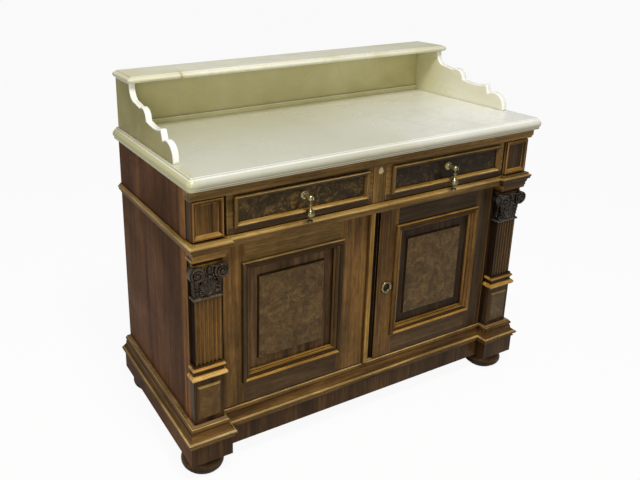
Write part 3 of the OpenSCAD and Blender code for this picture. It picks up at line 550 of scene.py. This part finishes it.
# painted shade on the slope round the door panels' fields
borderLine = woodSet("panelBorderLine", "darkShade", "Z", polish=0.5, wear=0.1, gloss=0.08)["Z"]
quietWood = woodSet("quietWalnut", "recess", "Z", wear=0.25)["Z"]
footWood = woodSet("blackenedFeet", "foot", "X", gloss=0.24)["X"]
# painted highlight on the upward shoulders of the feet
footShoulder = woodSet("footShoulderHighlight", "low", "X", gloss=0.2)["X"]
gapShadow = woodSet("gapShadow", "shadow", "Z", polish=0.6, gloss=0.05)["Z"]
chipped = {"place": (0.003, backY - 0.498, 0.773), "size": 0.009, "colour": tint(196, 176, 128)}
chippedWood = woodSet("chippedWalnut", "rail", "Z", patina=0.5, chip=chipped)["Z"]
doorBurl = makeBurl("doorBurl", tint(46, 33, 17), tint(82, 61, 33), tint(116, 90, 52), smoky=0.34, wear=0.15)
pedestalBurls = {
    "left": makeBurl("leftPedestalBurl", tint(64, 42, 18), tint(106, 77, 36), tint(130, 96, 48), 0.8),
    "right": makeBurl("rightPedestalBurl", tint(48, 36, 18), tint(84, 66, 36), tint(108, 86, 50), 0.8),
}
drawerBurls = {
    "left": makeBurl("leftDrawerBurl", tint(22, 17, 10), tint(56, 43, 23), tint(116, 88, 48), 0.6, 0.3, 3.4),
    "right": makeBurl("rightDrawerBurl", tint(15, 12, 9), tint(36, 28, 19), tint(74, 56, 36), 0.6, 0.3, 3.4),
}
carvedWoods = {
    "left": makeCarved("leftBlackenedCarving", tint(13, 10, 9), tint(36, 28, 23), tint(124, 106, 84), 0.32),
    "right": makeCarved("rightBlackenedCarving", tint(8, 8, 8), tint(24, 22, 21), tint(112, 104, 94), 0.26),
}
marble = makeMarble("paleMarble", tint(246, 246, 238), tint(242, 241, 230), tint(230, 228, 206))
slabShading = (  # painted shade towards the left, the back, the foot of its edge and its left end
    {"axis": "X", "from": 0.44, "to": -0.08, "ragged": 0.12, "share": 0.7, "colour": tint(182, 182, 162)},
    {"axis": "Y", "from": -0.10, "to": 0.25, "ragged": 0.06, "share": 0.4, "colour": tint(176, 170, 116)},
    {"axis": "Z", "from": 0.850, "to": 0.826, "ragged": 0.004, "share": 0.85, "colour": tint(132, 122, 80)},
    {"axis": "X", "from": -0.535, "to": -0.572, "ragged": 0.03, "share": 0.85, "colour": tint(198, 193, 142)},
)
slabMarble = makeMarble("slabMarble", tint(242, 242, 235), tint(237, 236, 227), tint(226, 224, 204),
                        paintedShades=slabShading)
# painted shade for the splashback's upright faces and the strip at its foot
shadowedMarble = makeMarble("splashShadeMarble", tint(208, 203, 156), tint(196, 189, 138), tint(178, 170, 112))
# painted shade towards the back of the right panel's inner face
panelShading = {"axis": "Y", "from": 0.06, "to": 0.24, "ragged": 0.03, "share": 0.85,
                  "colour": tint(204, 198, 150)}
panelMarble = makeMarble("panelMarble", tint(240, 238, 222), tint(230, 227, 204), tint(214, 210, 176),
                         paintedShades=(panelShading,))
shadedMarble = makeMarble("shadedMarble", tint(184, 175, 116), tint(166, 156, 94), tint(142, 131, 72))
shelfCrack = {"x": -0.410, "wander": 0.012, "deepest": backY - 0.085, "front": backY - 0.128,
              "stain": 0.010, "line": 0.0022}
shelfMarble = makeMarble("shelfMarble", tint(236, 234, 216), tint(225, 222, 198), tint(204, 200, 160),
                         crack=shelfCrack)
brass = makeMetal("agedBrass", tint(206, 192, 140), tint(88, 72, 44), 0.24, 0.6)
darkBrass = makeMetal("darkBrass", tint(156, 142, 100), tint(34, 27, 18), 0.2, 0.9)
iron = makeMetal("dullIron", tint(128, 124, 116), tint(70, 60, 52), 0.45, 0.8)
keyhole = makeMetal("keyholeShadow", tint(38, 30, 20), tint(20, 15, 10), 0.5, 0.8)
print("finishes ready")


# ---- pieces taken from the frame's own shapes ----

faceOn, leaning = 0.9, 0.5  # how much of a face's normal lies along an axis when it looks or leans that way
boardSpread = 9  # the boards' patterns start within this many of the wood's shifts
edgeWork = {
    "weldWithin": 0.00001, "flatWithin": 0.6,  # metres and degrees: the frame's triangles become faces
    "roundAbove": 32, "smoothBelow": 38,       # degrees between faces
    "segments": 2,
}


def within(value, span):  # the ends of the span don't count
    return span[0] < value < span[1]


def choose(piece):
    bpy.ops.object.select_all(action="DESELECT")
    piece.hide_viewport = False
    piece.select_set(True)
    bpy.context.view_layer.objects.active = piece


def applyModifiers(piece):
    choose(piece)
    for modifier in list(piece.modifiers):
        bpy.ops.object.modifier_apply(modifier=modifier.name)


def boardNumber(name, part):
    return random.Random(name + str(part)).random() * boardSpread


def markBoards(piece, name, rule):
    # rule(centre, normal) gives a face's material and the number of the board that it belongs to
    materials, indices, boards = [], [], []
    for face in piece.data.polygons:
        material, part = rule(face.center, face.normal)
        if material not in materials:
            materials.append(material)
        indices.append(materials.index(material))
        boards.append(boardNumber(name, part))
    piece.data.materials.clear()
    for material in materials:
        piece.data.materials.append(material)
    piece.data.polygons.foreach_set("material_index", indices)
    piece.data.attributes.new("board", "FLOAT", "FACE").data.foreach_set("value", boards)


def copyNode(name, newName):
    choose(frame["nodes"][name])
    bpy.ops.object.duplicate()
    piece = bpy.context.object
    piece.name = newName
    piece.data.name = newName
    for key in list(piece.keys()):
        del piece[key]
    piece.parent = None
    piece.data.materials.clear()
    bpy.ops.object.mode_set(mode="EDIT")
    bpy.ops.mesh.select_all(action="SELECT")
    bpy.ops.mesh.remove_doubles(threshold=edgeWork["weldWithin"])
    bpy.ops.mesh.dissolve_limited(angle_limit=math.radians(edgeWork["flatWithin"]))
    bpy.ops.mesh.vert_connect_concave()
    bpy.ops.object.mode_set(mode="OBJECT")
    return piece


def cutAcross(piece, axis, places):  # joint lines between boards of one node
    choose(piece)
    bpy.ops.object.mode_set(mode="EDIT")
    for place in places:
        bpy.ops.mesh.select_all(action="SELECT")
        point, normal = [0, 0, 0], [0, 0, 0]
        point[axis], normal[axis] = place, 1
        bpy.ops.mesh.bisect(plane_co=point, plane_no=normal)
    bpy.ops.object.mode_set(mode="OBJECT")


def bevelEdges(piece, width, segments):
    # the new edge faces go to the second slot, and their mark is what the finishes read as wear and as a
    # painted highlight along the edges
    for standIn in (marble, marble):
        piece.data.materials.append(standIn)
    bevel = piece.modifiers.new("edges", "BEVEL")
    bevel.width = width
    bevel.segments = segments
    bevel.limit_method = "ANGLE"
    bevel.angle_limit = math.radians(edgeWork["roundAbove"])
    bevel.material = 1
    bevel.use_clamp_overlap = True
    applyModifiers(piece)
    wear = [float(face.material_index == 1) for face in piece.data.polygons]
    piece.data.attributes.new("edgeWearAndHighlight", "FLOAT", "FACE").data.foreach_set("value", wear)
    piece.data.materials.clear()


def smoothPiece(piece):
    choose(piece)
    bpy.ops.object.shade_smooth_by_angle(angle=math.radians(edgeWork["smoothBelow"]))
    weighted = piece.modifiers.new("weighted", "WEIGHTED_NORMAL")
    weighted.keep_sharp = True
    applyModifiers(piece)


def bodyOf(name):
    return frame["nodes"][name]["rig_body"]


def pickPoints(piece, chosen):  # opens the piece for editing with only the chosen points selected
    mesh = piece.data
    mesh.polygons.foreach_set("select", [False] * len(mesh.polygons))
    mesh.edges.foreach_set("select", [False] * len(mesh.edges))
    mesh.vertices.foreach_set("select", [chosen(vertex.co) for vertex in mesh.vertices])
    choose(piece)
    bpy.ops.object.mode_set(mode="EDIT")
    bpy.ops.mesh.select_mode(type="VERT")


def swell(piece, chosen, centre, factor):  # the chosen points, scaled about a centre
    pickPoints(piece, chosen)
    bpy.ops.transform.resize(value=factor, center_override=centre)
    bpy.ops.object.mode_set(mode="OBJECT")


def softened(name, newName, rule, width, cuts=(), segments=edgeWork["segments"], shape=None):
    # a node's shape with its edges rounded and its finishes on, in the node's place
    piece = copyNode(name, newName)
    if shape:
        shape(piece)
    for axis, places in cuts:
        cutAcross(piece, axis, places)
    if width:
        bevelEdges(piece, width, segments)
    markBoards(piece, name, rule)
    smoothPiece(piece)
    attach(piece, bodyOf(name))
    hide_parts(name)


def plain(finish):  # one finish all over
    return lambda centre, normal: (finish, 0)


marbleWork = {
    "slabEdge": 0.0016, "splashEdge": 0.001, "shelfEdge": 0.0014, "stripEdge": 0.0016,
    "panelEdge": 0.0045, "panelSegments": 3,
    "panelsFrom": 0.5, "splashFrom": backY - 0.04,  # the side panels and the splashback stand beyond these
}


def yellowedFaces(centre, normal):  # painted shade on the broad upright faces of the gallery
    if normal.x < -faceOn and abs(centre.x) > marbleWork["panelsFrom"]:
        return (shadedMarble if centre.x < 0 else panelMarble), 0
    splashFront = normal.y < -faceOn and centre.y > marbleWork["splashFrom"]
    return (shadowedMarble if abs(normal.x) > faceOn or splashFront else marble), 0


softened("marble_slab", "marbleSlab", plain(slabMarble), marbleWork["slabEdge"])
softened("splashback", "splashback", yellowedFaces, marbleWork["splashEdge"])
softened("marble_shelf", "marbleShelf", plain(shelfMarble), marbleWork["shelfEdge"])
for side in ("left", "right"):
    softened("gallery_" + side, side + "GalleryPanel", yellowedFaces, marbleWork["panelEdge"],
             segments=marbleWork["panelSegments"])
softened("splash_strip", "splashStrip", plain(shadowedMarble), marbleWork["stripEdge"])
print("marble ready")


caseEnds = {"mitreX": 0.56, "sideX": 0.575, "cornerY": -0.21}  # where the mouldings turn along the sides


def grainAt(centre, normal):  # boards run across the front, and back along the sides
    out = abs(centre.x)
    alongSide = out > caseEnds["mitreX"] and abs(normal.x) > abs(normal.y) or out > caseEnds["sideX"]
    return ("Y", 1 if centre.x > 0 else 2) if alongSide and centre.y > caseEnds["cornerY"] else ("X", 0)


beltWork = {
    "edge": 0.0011, "railEdge": 0.001,
    "breakX": 0.455,  # from here out it stands forward over the pilasters
    "rubbedAndHighlit": (0.6741, 0.6775), "noseFrom": 0.672, "shadeBelow": 0.667,  # heights on its profile
    "highlightSlope": 0.55, "noseSlope": -0.1,
}


def beltRule(centre, normal):
    grain, part = grainAt(centre, normal)
    # painted highlight along the nose, painted shade beneath it
    if normal.z > beltWork["highlightSlope"] and within(centre.z, beltWork["rubbedAndHighlit"]):
        return highlightLine[grain], part
    onNose = centre.z > beltWork["noseFrom"] and normal.z > beltWork["noseSlope"]
    if centre.x > beltWork["breakX"]:  # duller at the right end: painted shade
        return (railWood if onNose else shadedWalnut if grain == "X" else walnut)[grain], part
    inShade = centre.x < -beltWork["breakX"] and grain == "X" and centre.z < beltWork["shadeBelow"]
    return (golden if onNose else walnut if inShade else railWood)[grain], part


def beltRailRule(centre, normal):  # darker where it stands over the capitals, with painted shade at the right end
    if abs(centre.x) < beltWork["breakX"] or normal.y > -leaning:
        return railWood["X"], 0
    return (shadedWalnut if centre.x > 0 else walnut)["X"], 0


pedestalWork = {
    "edge": 0.0012, "mouldingsFrom": 0.3, "noses": ((0.3015, 0.3165), (0.3255, 0.3375)),
    "brightSlope": -0.2, "goldenSlope": -0.55,
    "field": (0.185, 0.283), "fieldY": backY - 0.4965,  # the raised panel on its front
    "rubbedAndHighlit": (0.272, 0.281), "highlightSlope": 0.4,
}


def pedestalRule(centre, normal):
    work = pedestalWork
    if centre.z > work["mouldingsFrom"]:
        onNose = any(within(centre.z, nose) for nose in work["noses"])
        # painted highlight on the noses' upper faces, painted shade on the rest of the mouldings
        if onNose and normal.z > work["brightSlope"]:
            return beadHighlight["X"], 1
        return (golden if onNose and normal.z > work["goldenSlope"] else recessWood)["X"], 1
    # painted highlight line along the top of the field
    if normal.z > work["highlightSlope"] and within(centre.z, work["rubbedAndHighlit"]):
        return highlightLine["X"], 3
    onFront = normal.y < -faceOn
    if onFront and centre.y < work["fieldY"] and within(centre.z, work["field"]):
        return pedestalBurls["right" if centre.x > 0 else "left"], 2
    # painted shade on the flanks
    return (recessWood if onFront else shadedWalnut)["Z"], 0


plinthWork = {
    "edge": 0.0018, "mouldingsFrom": 0.105, "mouldingSlope": 0.3,
    "rubbedAndHighlit": ((0.1140, 0.1170), (0.1285, 0.1315), (0.1625, 0.1655)), "highlightSlope": 0.5,
    "endSlope": 0.8, "endOut": 0.3,  # faces at its two ends that look outwards
}


def plinthRule(centre, normal):
    work = plinthWork
    grain, part = grainAt(centre, normal)
    # painted highlight lines along the upward faces of its beads
    if normal.z > work["highlightSlope"] and any(within(centre.z, span) for span in work["rubbedAndHighlit"]):
        return highlightLine[grain], part
    if centre.z > work["mouldingsFrom"] or normal.z > work["mouldingSlope"]:
        return plinthWood[grain], part
    onEnd = abs(normal.x) > work["endSlope"] and centre.x * normal.x > work["endOut"]
    return sideWood["Y"] if onEnd else recessWood["Z"], part


feetWork = {"x": 0.522, "y": -0.183, "wider": 1.17, "shoulder": (0.2, 0.9)}


def widenFeet(piece):  # the front buns are broader than the turned shapes of the frame
    wider = (feetWork["wider"], feetWork["wider"], 1)
    for x in (-feetWork["x"], feetWork["x"]):
        swell(piece, lambda point: point.x * x > 0, (x, feetWork["y"], 0), wider)


def footRule(centre, normal):  # painted highlight on the upward shoulder
    return (footShoulder if within(normal.z, feetWork["shoulder"]) else footWood), 0


blockWork = {"edge": 0.0012, "brightSlope": 0.3, "quietSlope": 0.25}


def blockRule(centre, normal):  # painted highlight on the upward slope of its frame, painted shade on the right block
    if normal.z > blockWork["brightSlope"]:
        return golden["X"], 1
    if centre.x > 0:
        return shadedWalnut["Z"], 0
    onSlope = abs(normal.x) > blockWork["quietSlope"] or normal.z < -blockWork["quietSlope"]
    return (quietWood if onSlope else walnut["Z"]), 0


def postRule(centre, normal):  # its front is black beside the pilaster: painted shade
    return (shadedFlankWood if normal.y < -leaning else postWood), 0


pilasterWork = {"x": 0.515, "halfShaft": 0.0362, "edge": 0.0008}
caseEdges = {"topRail": 0.0016, "stile": 0.0012, "side": 0.001, "post": 0.0016}

softened("top_rail", "topRail", plain(railWood["X"]), caseEdges["topRail"])
softened("belt_moulding", "beltMoulding", beltRule, beltWork["edge"])
softened("belt_rail", "beltRail", beltRailRule, beltWork["railEdge"])
softened("plinth", "plinthMoulding", plinthRule, plinthWork["edge"])
softened("centre_stile", "centreStile", plain(chippedWood), caseEdges["stile"])
for side, upright in (("left", walnut), ("right", shadedWalnut)):  # the right end is darker: painted shade as the light falls off

    def pilasterRule(centre, normal, upright=upright):  # painted shade in the angle beside the shaft
        besideShaft = abs(abs(centre.x) - pilasterWork["x"]) > pilasterWork["halfShaft"]
        return (shadedFlankWood if besideShaft else upright["Z"]), 0

    softened("side_" + side, side + "SideBoard", plain(sideWood["Z"]), caseEdges["side"])
    softened("corner_post_" + side, side + "CornerPost", postRule, caseEdges["post"])
    softened("corner_block_" + side, side + "CornerBlock", blockRule, blockWork["edge"])
    softened("pilaster_" + side, side + "PilasterShaft", pilasterRule, pilasterWork["edge"])
    softened("pedestal_" + side, side + "Pedestal", pedestalRule, pedestalWork["edge"])
softened("bun_feet_front", "frontBunFeet", footRule, 0, shape=widenFeet)
softened("bun_feet_back", "backBunFeet", footRule, 0)
print("case ready")


# ---- capitals: the scrolls of the frame, with carving grown over them ----

capitalWork = {
    "middle": pilasterWork["x"], "edge": 0.0007,
    "bell": backY - 0.495, "top": backY - 0.503, "scrollFace": backY - 0.5105,  # where the carving grows from
    "scrollOut": 0.034, "scrollZ": 0.600, "scrollR": 0.0168, "scrollTurns": 1.9, "scrollSteps": 40,
    "cord": 0.0030, "eye": 0.0046, "scrollEdge": 0.0206,
    "husks": (0.0062, 0.0054, 0.0044, 0.0034),  # sizes from the top down
    "cheekHusks": (0.008, 0.0068, 0.0056, 0.0044),
    "leafFoot": 0.536, "leafTall": 0.056, "leafWide": 0.022, "ribSteps": 12, "lobes": 5,
    "abacusZ": 0.6148, "hollow": (0.6225, 0.6325),  # the abacus starts here, and is hollow between its bands
    "voxel": 0.0007, "smooth": 4,
}


def lump(place, size, turn=0.0):  # one egg-shaped lump, in edit mode; size is half its width, depth and height
    bpy.ops.mesh.primitive_uv_sphere_add(segments=12, ring_count=8, radius=1, location=place,
                                         rotation=(0, turn, 0), scale=size)


def carveScroll(work):
    for step in range(work["scrollSteps"] + 1):  # the cord winds in and thins
        share = step / work["scrollSteps"]
        angle = math.radians(100) - 2 * math.pi * work["scrollTurns"] * share
        reach = work["scrollR"] * (1 - 0.76 * share)
        cord = work["cord"] * (1 - 0.42 * share)
        place = (work["scrollOut"] + reach * math.cos(angle), work["scrollFace"] - 0.0012 * share,
                 work["scrollZ"] + reach * math.sin(angle))
        lump(place, (cord, cord * 1.25, cord))
    lump((work["scrollOut"], work["scrollFace"] - 0.001, work["scrollZ"]), (work["eye"],) * 3)
    for row, size in enumerate(work["husks"]):  # they hang from the scroll
        for spread in (-1, 0, 1):
            place = (work["scrollOut"] - 0.004 + spread * size * 0.62,
                     work["bell"] - 0.0042 + 0.0012 * abs(spread), work["scrollZ"] - 0.0245 - 0.0095 * row)
            lump(place, (size * 0.42, size * 0.7, size * 1.15), spread * 0.42)


def carveLeaf(work):
    foot, tall, wide, face = work["leafFoot"], work["leafTall"], work["leafWide"], work["bell"]
    for step in range(work["ribSteps"] + 1):  # the middle rib swells out towards the tip
        share = step / work["ribSteps"]
        lump((0, face - 0.003 - 0.0075 * share ** 2, foot + tall * share),
             (0.0026 + 0.0012 * share, 0.003, 0.0042))
    lump((0, face - 0.0125, foot + tall * 0.97), (0.0058, 0.0042, 0.0036))  # and curls over there
    for row in range(work["lobes"]):  # each has three fingers and a curled end
        share = row / (work["lobes"] - 1)
        lean = math.radians(66 - 30 * share)
        length = 0.0125 * (1 - 0.38 * share) * (0.75 + 0.5 * math.sin(math.pi * (0.2 + 0.6 * share)))
        out, up = wide * 0.34 * (1 - 0.3 * share) + length * 0.35, foot + 0.006 + tall * 0.78 * share
        for finger in (-1, 0, 1):
            lump((out + 0.0036 * finger * math.cos(lean), face - 0.002 - 0.004 * share,
                  up - 0.0036 * finger * math.sin(lean)),
                 (0.0021, 0.0030, length * (1 - 0.18 * abs(finger))), lean + finger * 0.34)
        tip = (out + length * math.sin(lean) * 0.85, face - 0.004 - 0.004 * share,
               up + length * math.cos(lean) * 0.85)
        lump(tip, (0.0028, 0.0034, 0.0028))


def carveTop(work):
    face, heart = work["top"], work["scrollZ"] + 0.006
    lump((0, face - 0.003, heart), (0.0065, 0.0055, 0.0092))  # egg between the scrolls
    for step in range(9):  # its rim
        angle = math.pi * (0.5 + step / 8)
        place = (-0.0098 * math.cos(angle), face - 0.001, heart - 0.0125 * math.sin(angle))
        lump(place, (0.0017, 0.0028, 0.0019))
    for step in range(8):  # the band that runs out to the scroll
        lump((0.012 + 0.0022 * step, face - 0.001 - 0.0006 * step, work["abacusZ"] + 0.0005 - 0.00025 * step),
             (0.0022, 0.0026, 0.0024))
    for bead in range(7):  # along the neck
        lump((0.0056 * bead, work["bell"] - 0.001, work["leafFoot"] - 0.0015), (0.0022, 0.0022, 0.0022))
    for row, size in enumerate(work["cheekHusks"]):  # on the side of the bell
        for spread in (-1, 0, 1):
            lump((0.037, work["bell"] + 0.0105 + spread * size * 0.5, work["scrollZ"] - 0.021 - 0.0115 * row),
                 (0.0022, size * 0.42, size * 1.1))


def makeCarving(work, name):
    bpy.ops.object.select_all(action="DESELECT")
    bpy.ops.mesh.primitive_uv_sphere_add(segments=12, ring_count=8, radius=work["eye"],
                                         location=(0, work["bell"], work["scrollZ"]))
    piece = bpy.context.object
    piece.name = name
    bpy.ops.object.transform_apply(location=True, rotation=True, scale=True)
    bpy.ops.object.mode_set(mode="EDIT")
    carveScroll(work)
    carveLeaf(work)
    carveTop(work)
    bpy.ops.object.mode_set(mode="OBJECT")
    half = piece.modifiers.new("other half", "MIRROR")
    half.use_mirror_merge = False
    remesh = piece.modifiers.new("merge", "REMESH")
    remesh.mode = "VOXEL"
    remesh.voxel_size = work["voxel"]
    soften = piece.modifiers.new("soften", "SMOOTH")
    soften.iterations = work["smooth"]
    applyModifiers(piece)
    bpy.ops.object.shade_smooth()
    return piece


def capitalRule(centre, normal):
    work = capitalWork
    fromMiddle = abs(abs(centre.x) - work["middle"])
    toScroll = math.hypot(fromMiddle - work["scrollOut"], centre.z - work["scrollZ"])
    if centre.z < work["abacusZ"] or toScroll < work["scrollEdge"]:
        return carvedWoods["right" if centre.x > 0 else "left"], 0
    # painted shade in the hollow and on downward faces, painted highlight on the left one's bands, painted
    # shade on the right one's
    onBand = centre.z < work["hollow"][0] or centre.z > work["hollow"][1]
    if not onBand or normal.z < -leaning:
        return recessWood["X"], 1
    return (golden if centre.x < 0 else walnut)["X"], 1


carving = makeCarving(capitalWork, "rightCapitalCarving")
for side, shift in (("right", 1), ("left", -2)):  # the left one is a copy that starts in the right one's place
    if side == "left":
        choose(carving)
        bpy.ops.object.duplicate()
        carving = bpy.context.object
        carving.name = "leftCapitalCarving"
    choose(carving)
    bpy.ops.transform.translate(value=(capitalWork["middle"] * shift, 0, 0))
    bpy.ops.object.transform_apply(location=True, rotation=True, scale=True)
    carving.data.materials.clear()
    carving.data.materials.append(carvedWoods[side])
    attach(carving, bodyOf("capital_" + side))
    softened("capital_" + side, side + "CapitalBlock", capitalRule, capitalWork["edge"])
    print(side, "capital carved,", len(carving.data.polygons), "faces")


# ---- drawers ----

pullWork = {
    "x": 0.242, "y": backY - 0.528, "z": 0.750, "mountEdge": 0.0004, "dropEdge": 0.0003,
    "shankR": 0.0036, "near": 0.0003, "stouter": 1.6,  # points this near the shank's surface move out
    "foot": (0.685, 0.690), "flare": 2.0,
}


def stouterShank(piece, pull):
    def onShank(point):
        fromAxis = math.hypot(point.x - pull["x"], point.z - pull["z"])
        return abs(fromAxis - pull["shankR"]) < pull["near"]
    swell(piece, onShank, (pull["x"], pull["y"], pull["z"]), (pull["stouter"], 1, pull["stouter"]))


def flaredFoot(piece, pull):
    swell(piece, lambda point: within(point.z, pull["foot"]),
          (pull["x"], pull["y"], pull["foot"][0]), (pull["flare"], pull["flare"], 1))


drawerWork = {  # the moulding's outline is the right drawer's
    "edge": 0.0012, "left": 0.040, "right": 0.444, "low": 0.701, "high": 0.782, "lap": 0.006,
    "mouldingEdge": 0.0005, "goldenSlope": 0.85, "highlightSlope": 0.3,
}


def drawerMouldingRule(centre, normal):  # painted highlight on its upward faces, painted shade on the faces below
    if abs(normal.x) > abs(normal.z):
        return railWood["Z"], 2
    if normal.z > drawerWork["goldenSlope"]:
        return golden["X"], 0
    return (highlightLine if normal.z > drawerWork["highlightSlope"] else shadedWalnut)["X"], 1


for side, sign in (("left", -1), ("right", 1)):
    work = drawerWork
    inner = sorted((sign * (work["left"] + work["lap"]), sign * (work["right"] - work["lap"])))
    heights = (work["low"] + work["lap"], work["high"] - work["lap"])

    def drawerRule(centre, normal, inner=inner, heights=heights, burl=drawerBurls[side]):
        if within(centre.x, inner) and within(centre.z, heights) and normal.y < -faceOn:
            return burl, 1
        # painted shade below the moulding
        return (shadedWalnut if centre.z < drawerWork["low"] else railWood)["X"], 0

    softened(side + "_drawer_front", side + "DrawerFront", drawerRule, work["edge"],
             cuts=((0, inner), (2, (work["low"],) + heights)))
    softened(side + "_drawer_moulding", side + "DrawerMoulding", drawerMouldingRule, work["mouldingEdge"])
    pull = dict(pullWork, x=sign * pullWork["x"])
    softened(side + "_pull_mount", side + "PullRosette", plain(brass), pull["mountEdge"],
             shape=lambda piece: stouterShank(piece, pull))
    softened(side + "_pull_drop", side + "PullDrop", plain(darkBrass), pull["dropEdge"],
             shape=lambda piece: flaredFoot(piece, pull))
print("drawers ready")


# ---- doors ----

doorFrame = {  # measures of the right door; the left one mirrors it
    "edge": 0.0012, "openLeft": 0.1005, "openRight": 0.399, "openLow": 0.240, "middleZ": 0.4,
    "rebateEdge": 0.0265, "near": 0.0004, "rebateWider": 0.0085, "rebateFloor": backY - 0.467,
}
doorMoulding = {
    "edge": 0.0005, "upper": 0.17, "bead": 0.0028, "groove": 0.0055,  # up from the opening's lower edge
    "topSlope": 0.75, "grooveSlope": 0.6, "beadSlope": -0.1,
}
doorPanel = {"edge": 0.0009, "fieldY": backY - 0.4625}


def widenRebate(piece):  # the step that the meeting strip laps over shows as a broad dark band
    pickPoints(piece, lambda point: abs(point.x - doorFrame["rebateEdge"]) < doorFrame["near"])
    bpy.ops.transform.translate(value=(doorFrame["rebateWider"], 0, 0))
    bpy.ops.object.mode_set(mode="OBJECT")


for side, sign in (("left", -1), ("right", 1)):
    opening = sorted((sign * doorFrame["openLeft"], sign * doorFrame["openRight"]))

    def doorRule(centre, normal, opening=opening):
        step = doorFrame["rebateEdge"] + doorFrame["rebateWider"] + doorFrame["edge"]
        onFloor = normal.y < -faceOn and centre.y > doorFrame["rebateFloor"]
        if 0 < centre.x < step and (onFloor or normal.x < -faceOn):
            return gapShadow, 5
        # painted shade on the right door's upper rail and outer stile
        outer, upper = centre.x > opening[1], centre.z > doorFrame["middleZ"]
        if within(centre.x, opening):
            return ((shadedWalnut if opening[0] > 0 else railWood)["X"], 1) if upper else (lowRail, 2)
        return (shadedWalnut if outer and opening[0] > 0 else walnut)["Z"], 3 if outer else 4

    def doorMouldingRule(centre, normal, upright=shadedWalnut if side == "left" else walnut,
                         topLine=highlightLine if side == "left" else golden):
        # the left door's side members get painted shade
        if abs(normal.x) > abs(normal.z):
            return upright["Z"], 2
        work, up = doorMoulding, centre.z - doorFrame["openLow"]
        # painted highlight on upward faces and the outer bead, painted shade on the rest
        if up > work["upper"]:
            return (topLine if normal.z > work["topSlope"] else recessWood)["X"], 1
        if up > work["bead"]:  # groove and inner bead
            rubbedAndHighlit = normal.z > work["grooveSlope"] and up > work["groove"]
            return (golden if rubbedAndHighlit else recessWood)["X"], 0
        return (beadHighlight if normal.z > work["beadSlope"] else walnut)["X"], 0

    def panelRule(centre, normal, border=borderWoods[side]):
        if abs(normal.y) < faceOn:  # the slope round the field is black: painted shade
            return borderLine, 1
        return (doorBurl, 0) if centre.y < doorPanel["fieldY"] else (border, 1)

    softened(side + "_door_frame", side + "DoorFrame", doorRule, doorFrame["edge"], cuts=((0, opening),),
             shape=widenRebate if sign > 0 else None)
    softened(side + "_door_moulding", side + "DoorMoulding", doorMouldingRule, doorMoulding["edge"])
    softened(side + "_door_panel", side + "DoorPanel", panelRule, doorPanel["edge"])

stripWork = {"edge": 0.0006}
ringWork = {"x": 0.0695, "z": 0.397, "dark": 0.0112, "edge": 0.0004}


def stripRule(centre, normal):  # painted highlight on its face
    return (golden if normal.y < -faceOn else walnut)["Z"], 0


def ringRule(centre, normal):  # a bright ring about a dark middle
    fromMiddle = math.hypot(centre.x - ringWork["x"], centre.z - ringWork["z"])
    return (darkBrass if fromMiddle > ringWork["dark"] else keyhole), 0


softened("meeting_strip", "meetingStrip", stripRule, stripWork["edge"])
softened("escutcheon", "keyRing", ringRule, ringWork["edge"])
print("doors ready")


# ---- back ----

backWork = {"boards": 7, "edge": 0.0008}  # width in boards; one joint is in the middle, so each end has a half
boardWide = frame["nodes"]["back_panel"].dimensions.x / backWork["boards"]
backJoints = [boardWide * place for place in range(-(backWork["boards"] // 2), backWork["boards"] // 2 + 1)]


def backRule(centre, normal):
    return pine["Z"], math.floor(centre.x / boardWide)


softened("back_panel", "backBoards", backRule, backWork["edge"], cuts=((0, backJoints),))


# ---- the rest of the frame keeps its shape and gets its finish ----

plainFinishes = {
    "drawer_divider": pine["Y"], "dust_board": pine["X"], "drawer_runners": pine["Y"], "foot_blocks": pine["X"],
    "bottom_board": pine["X"], "cupboard_shelf": pine["X"], "shelf_bearers": pine["Y"],
    "left_drawer_box": pine["Y"], "right_drawer_box": pine["Y"],
    "left_drawer_bottom": pine["X"], "right_drawer_bottom": pine["X"],
    "left_door_pivots": brass, "right_door_pivots": brass, "pivot_sockets": brass,
    "left_door_bolt_plate": brass, "left_door_bolt": brass, "lock_bolt": brass, "door_lock": iron,
}
for name, material in plainFinishes.items():
    node = frame["nodes"][name]
    if not node.data.materials:
        node.data.materials.append(material)
    for index in range(len(node.data.materials)):
        node.data.materials[index] = material
print("remaining nodes finished")
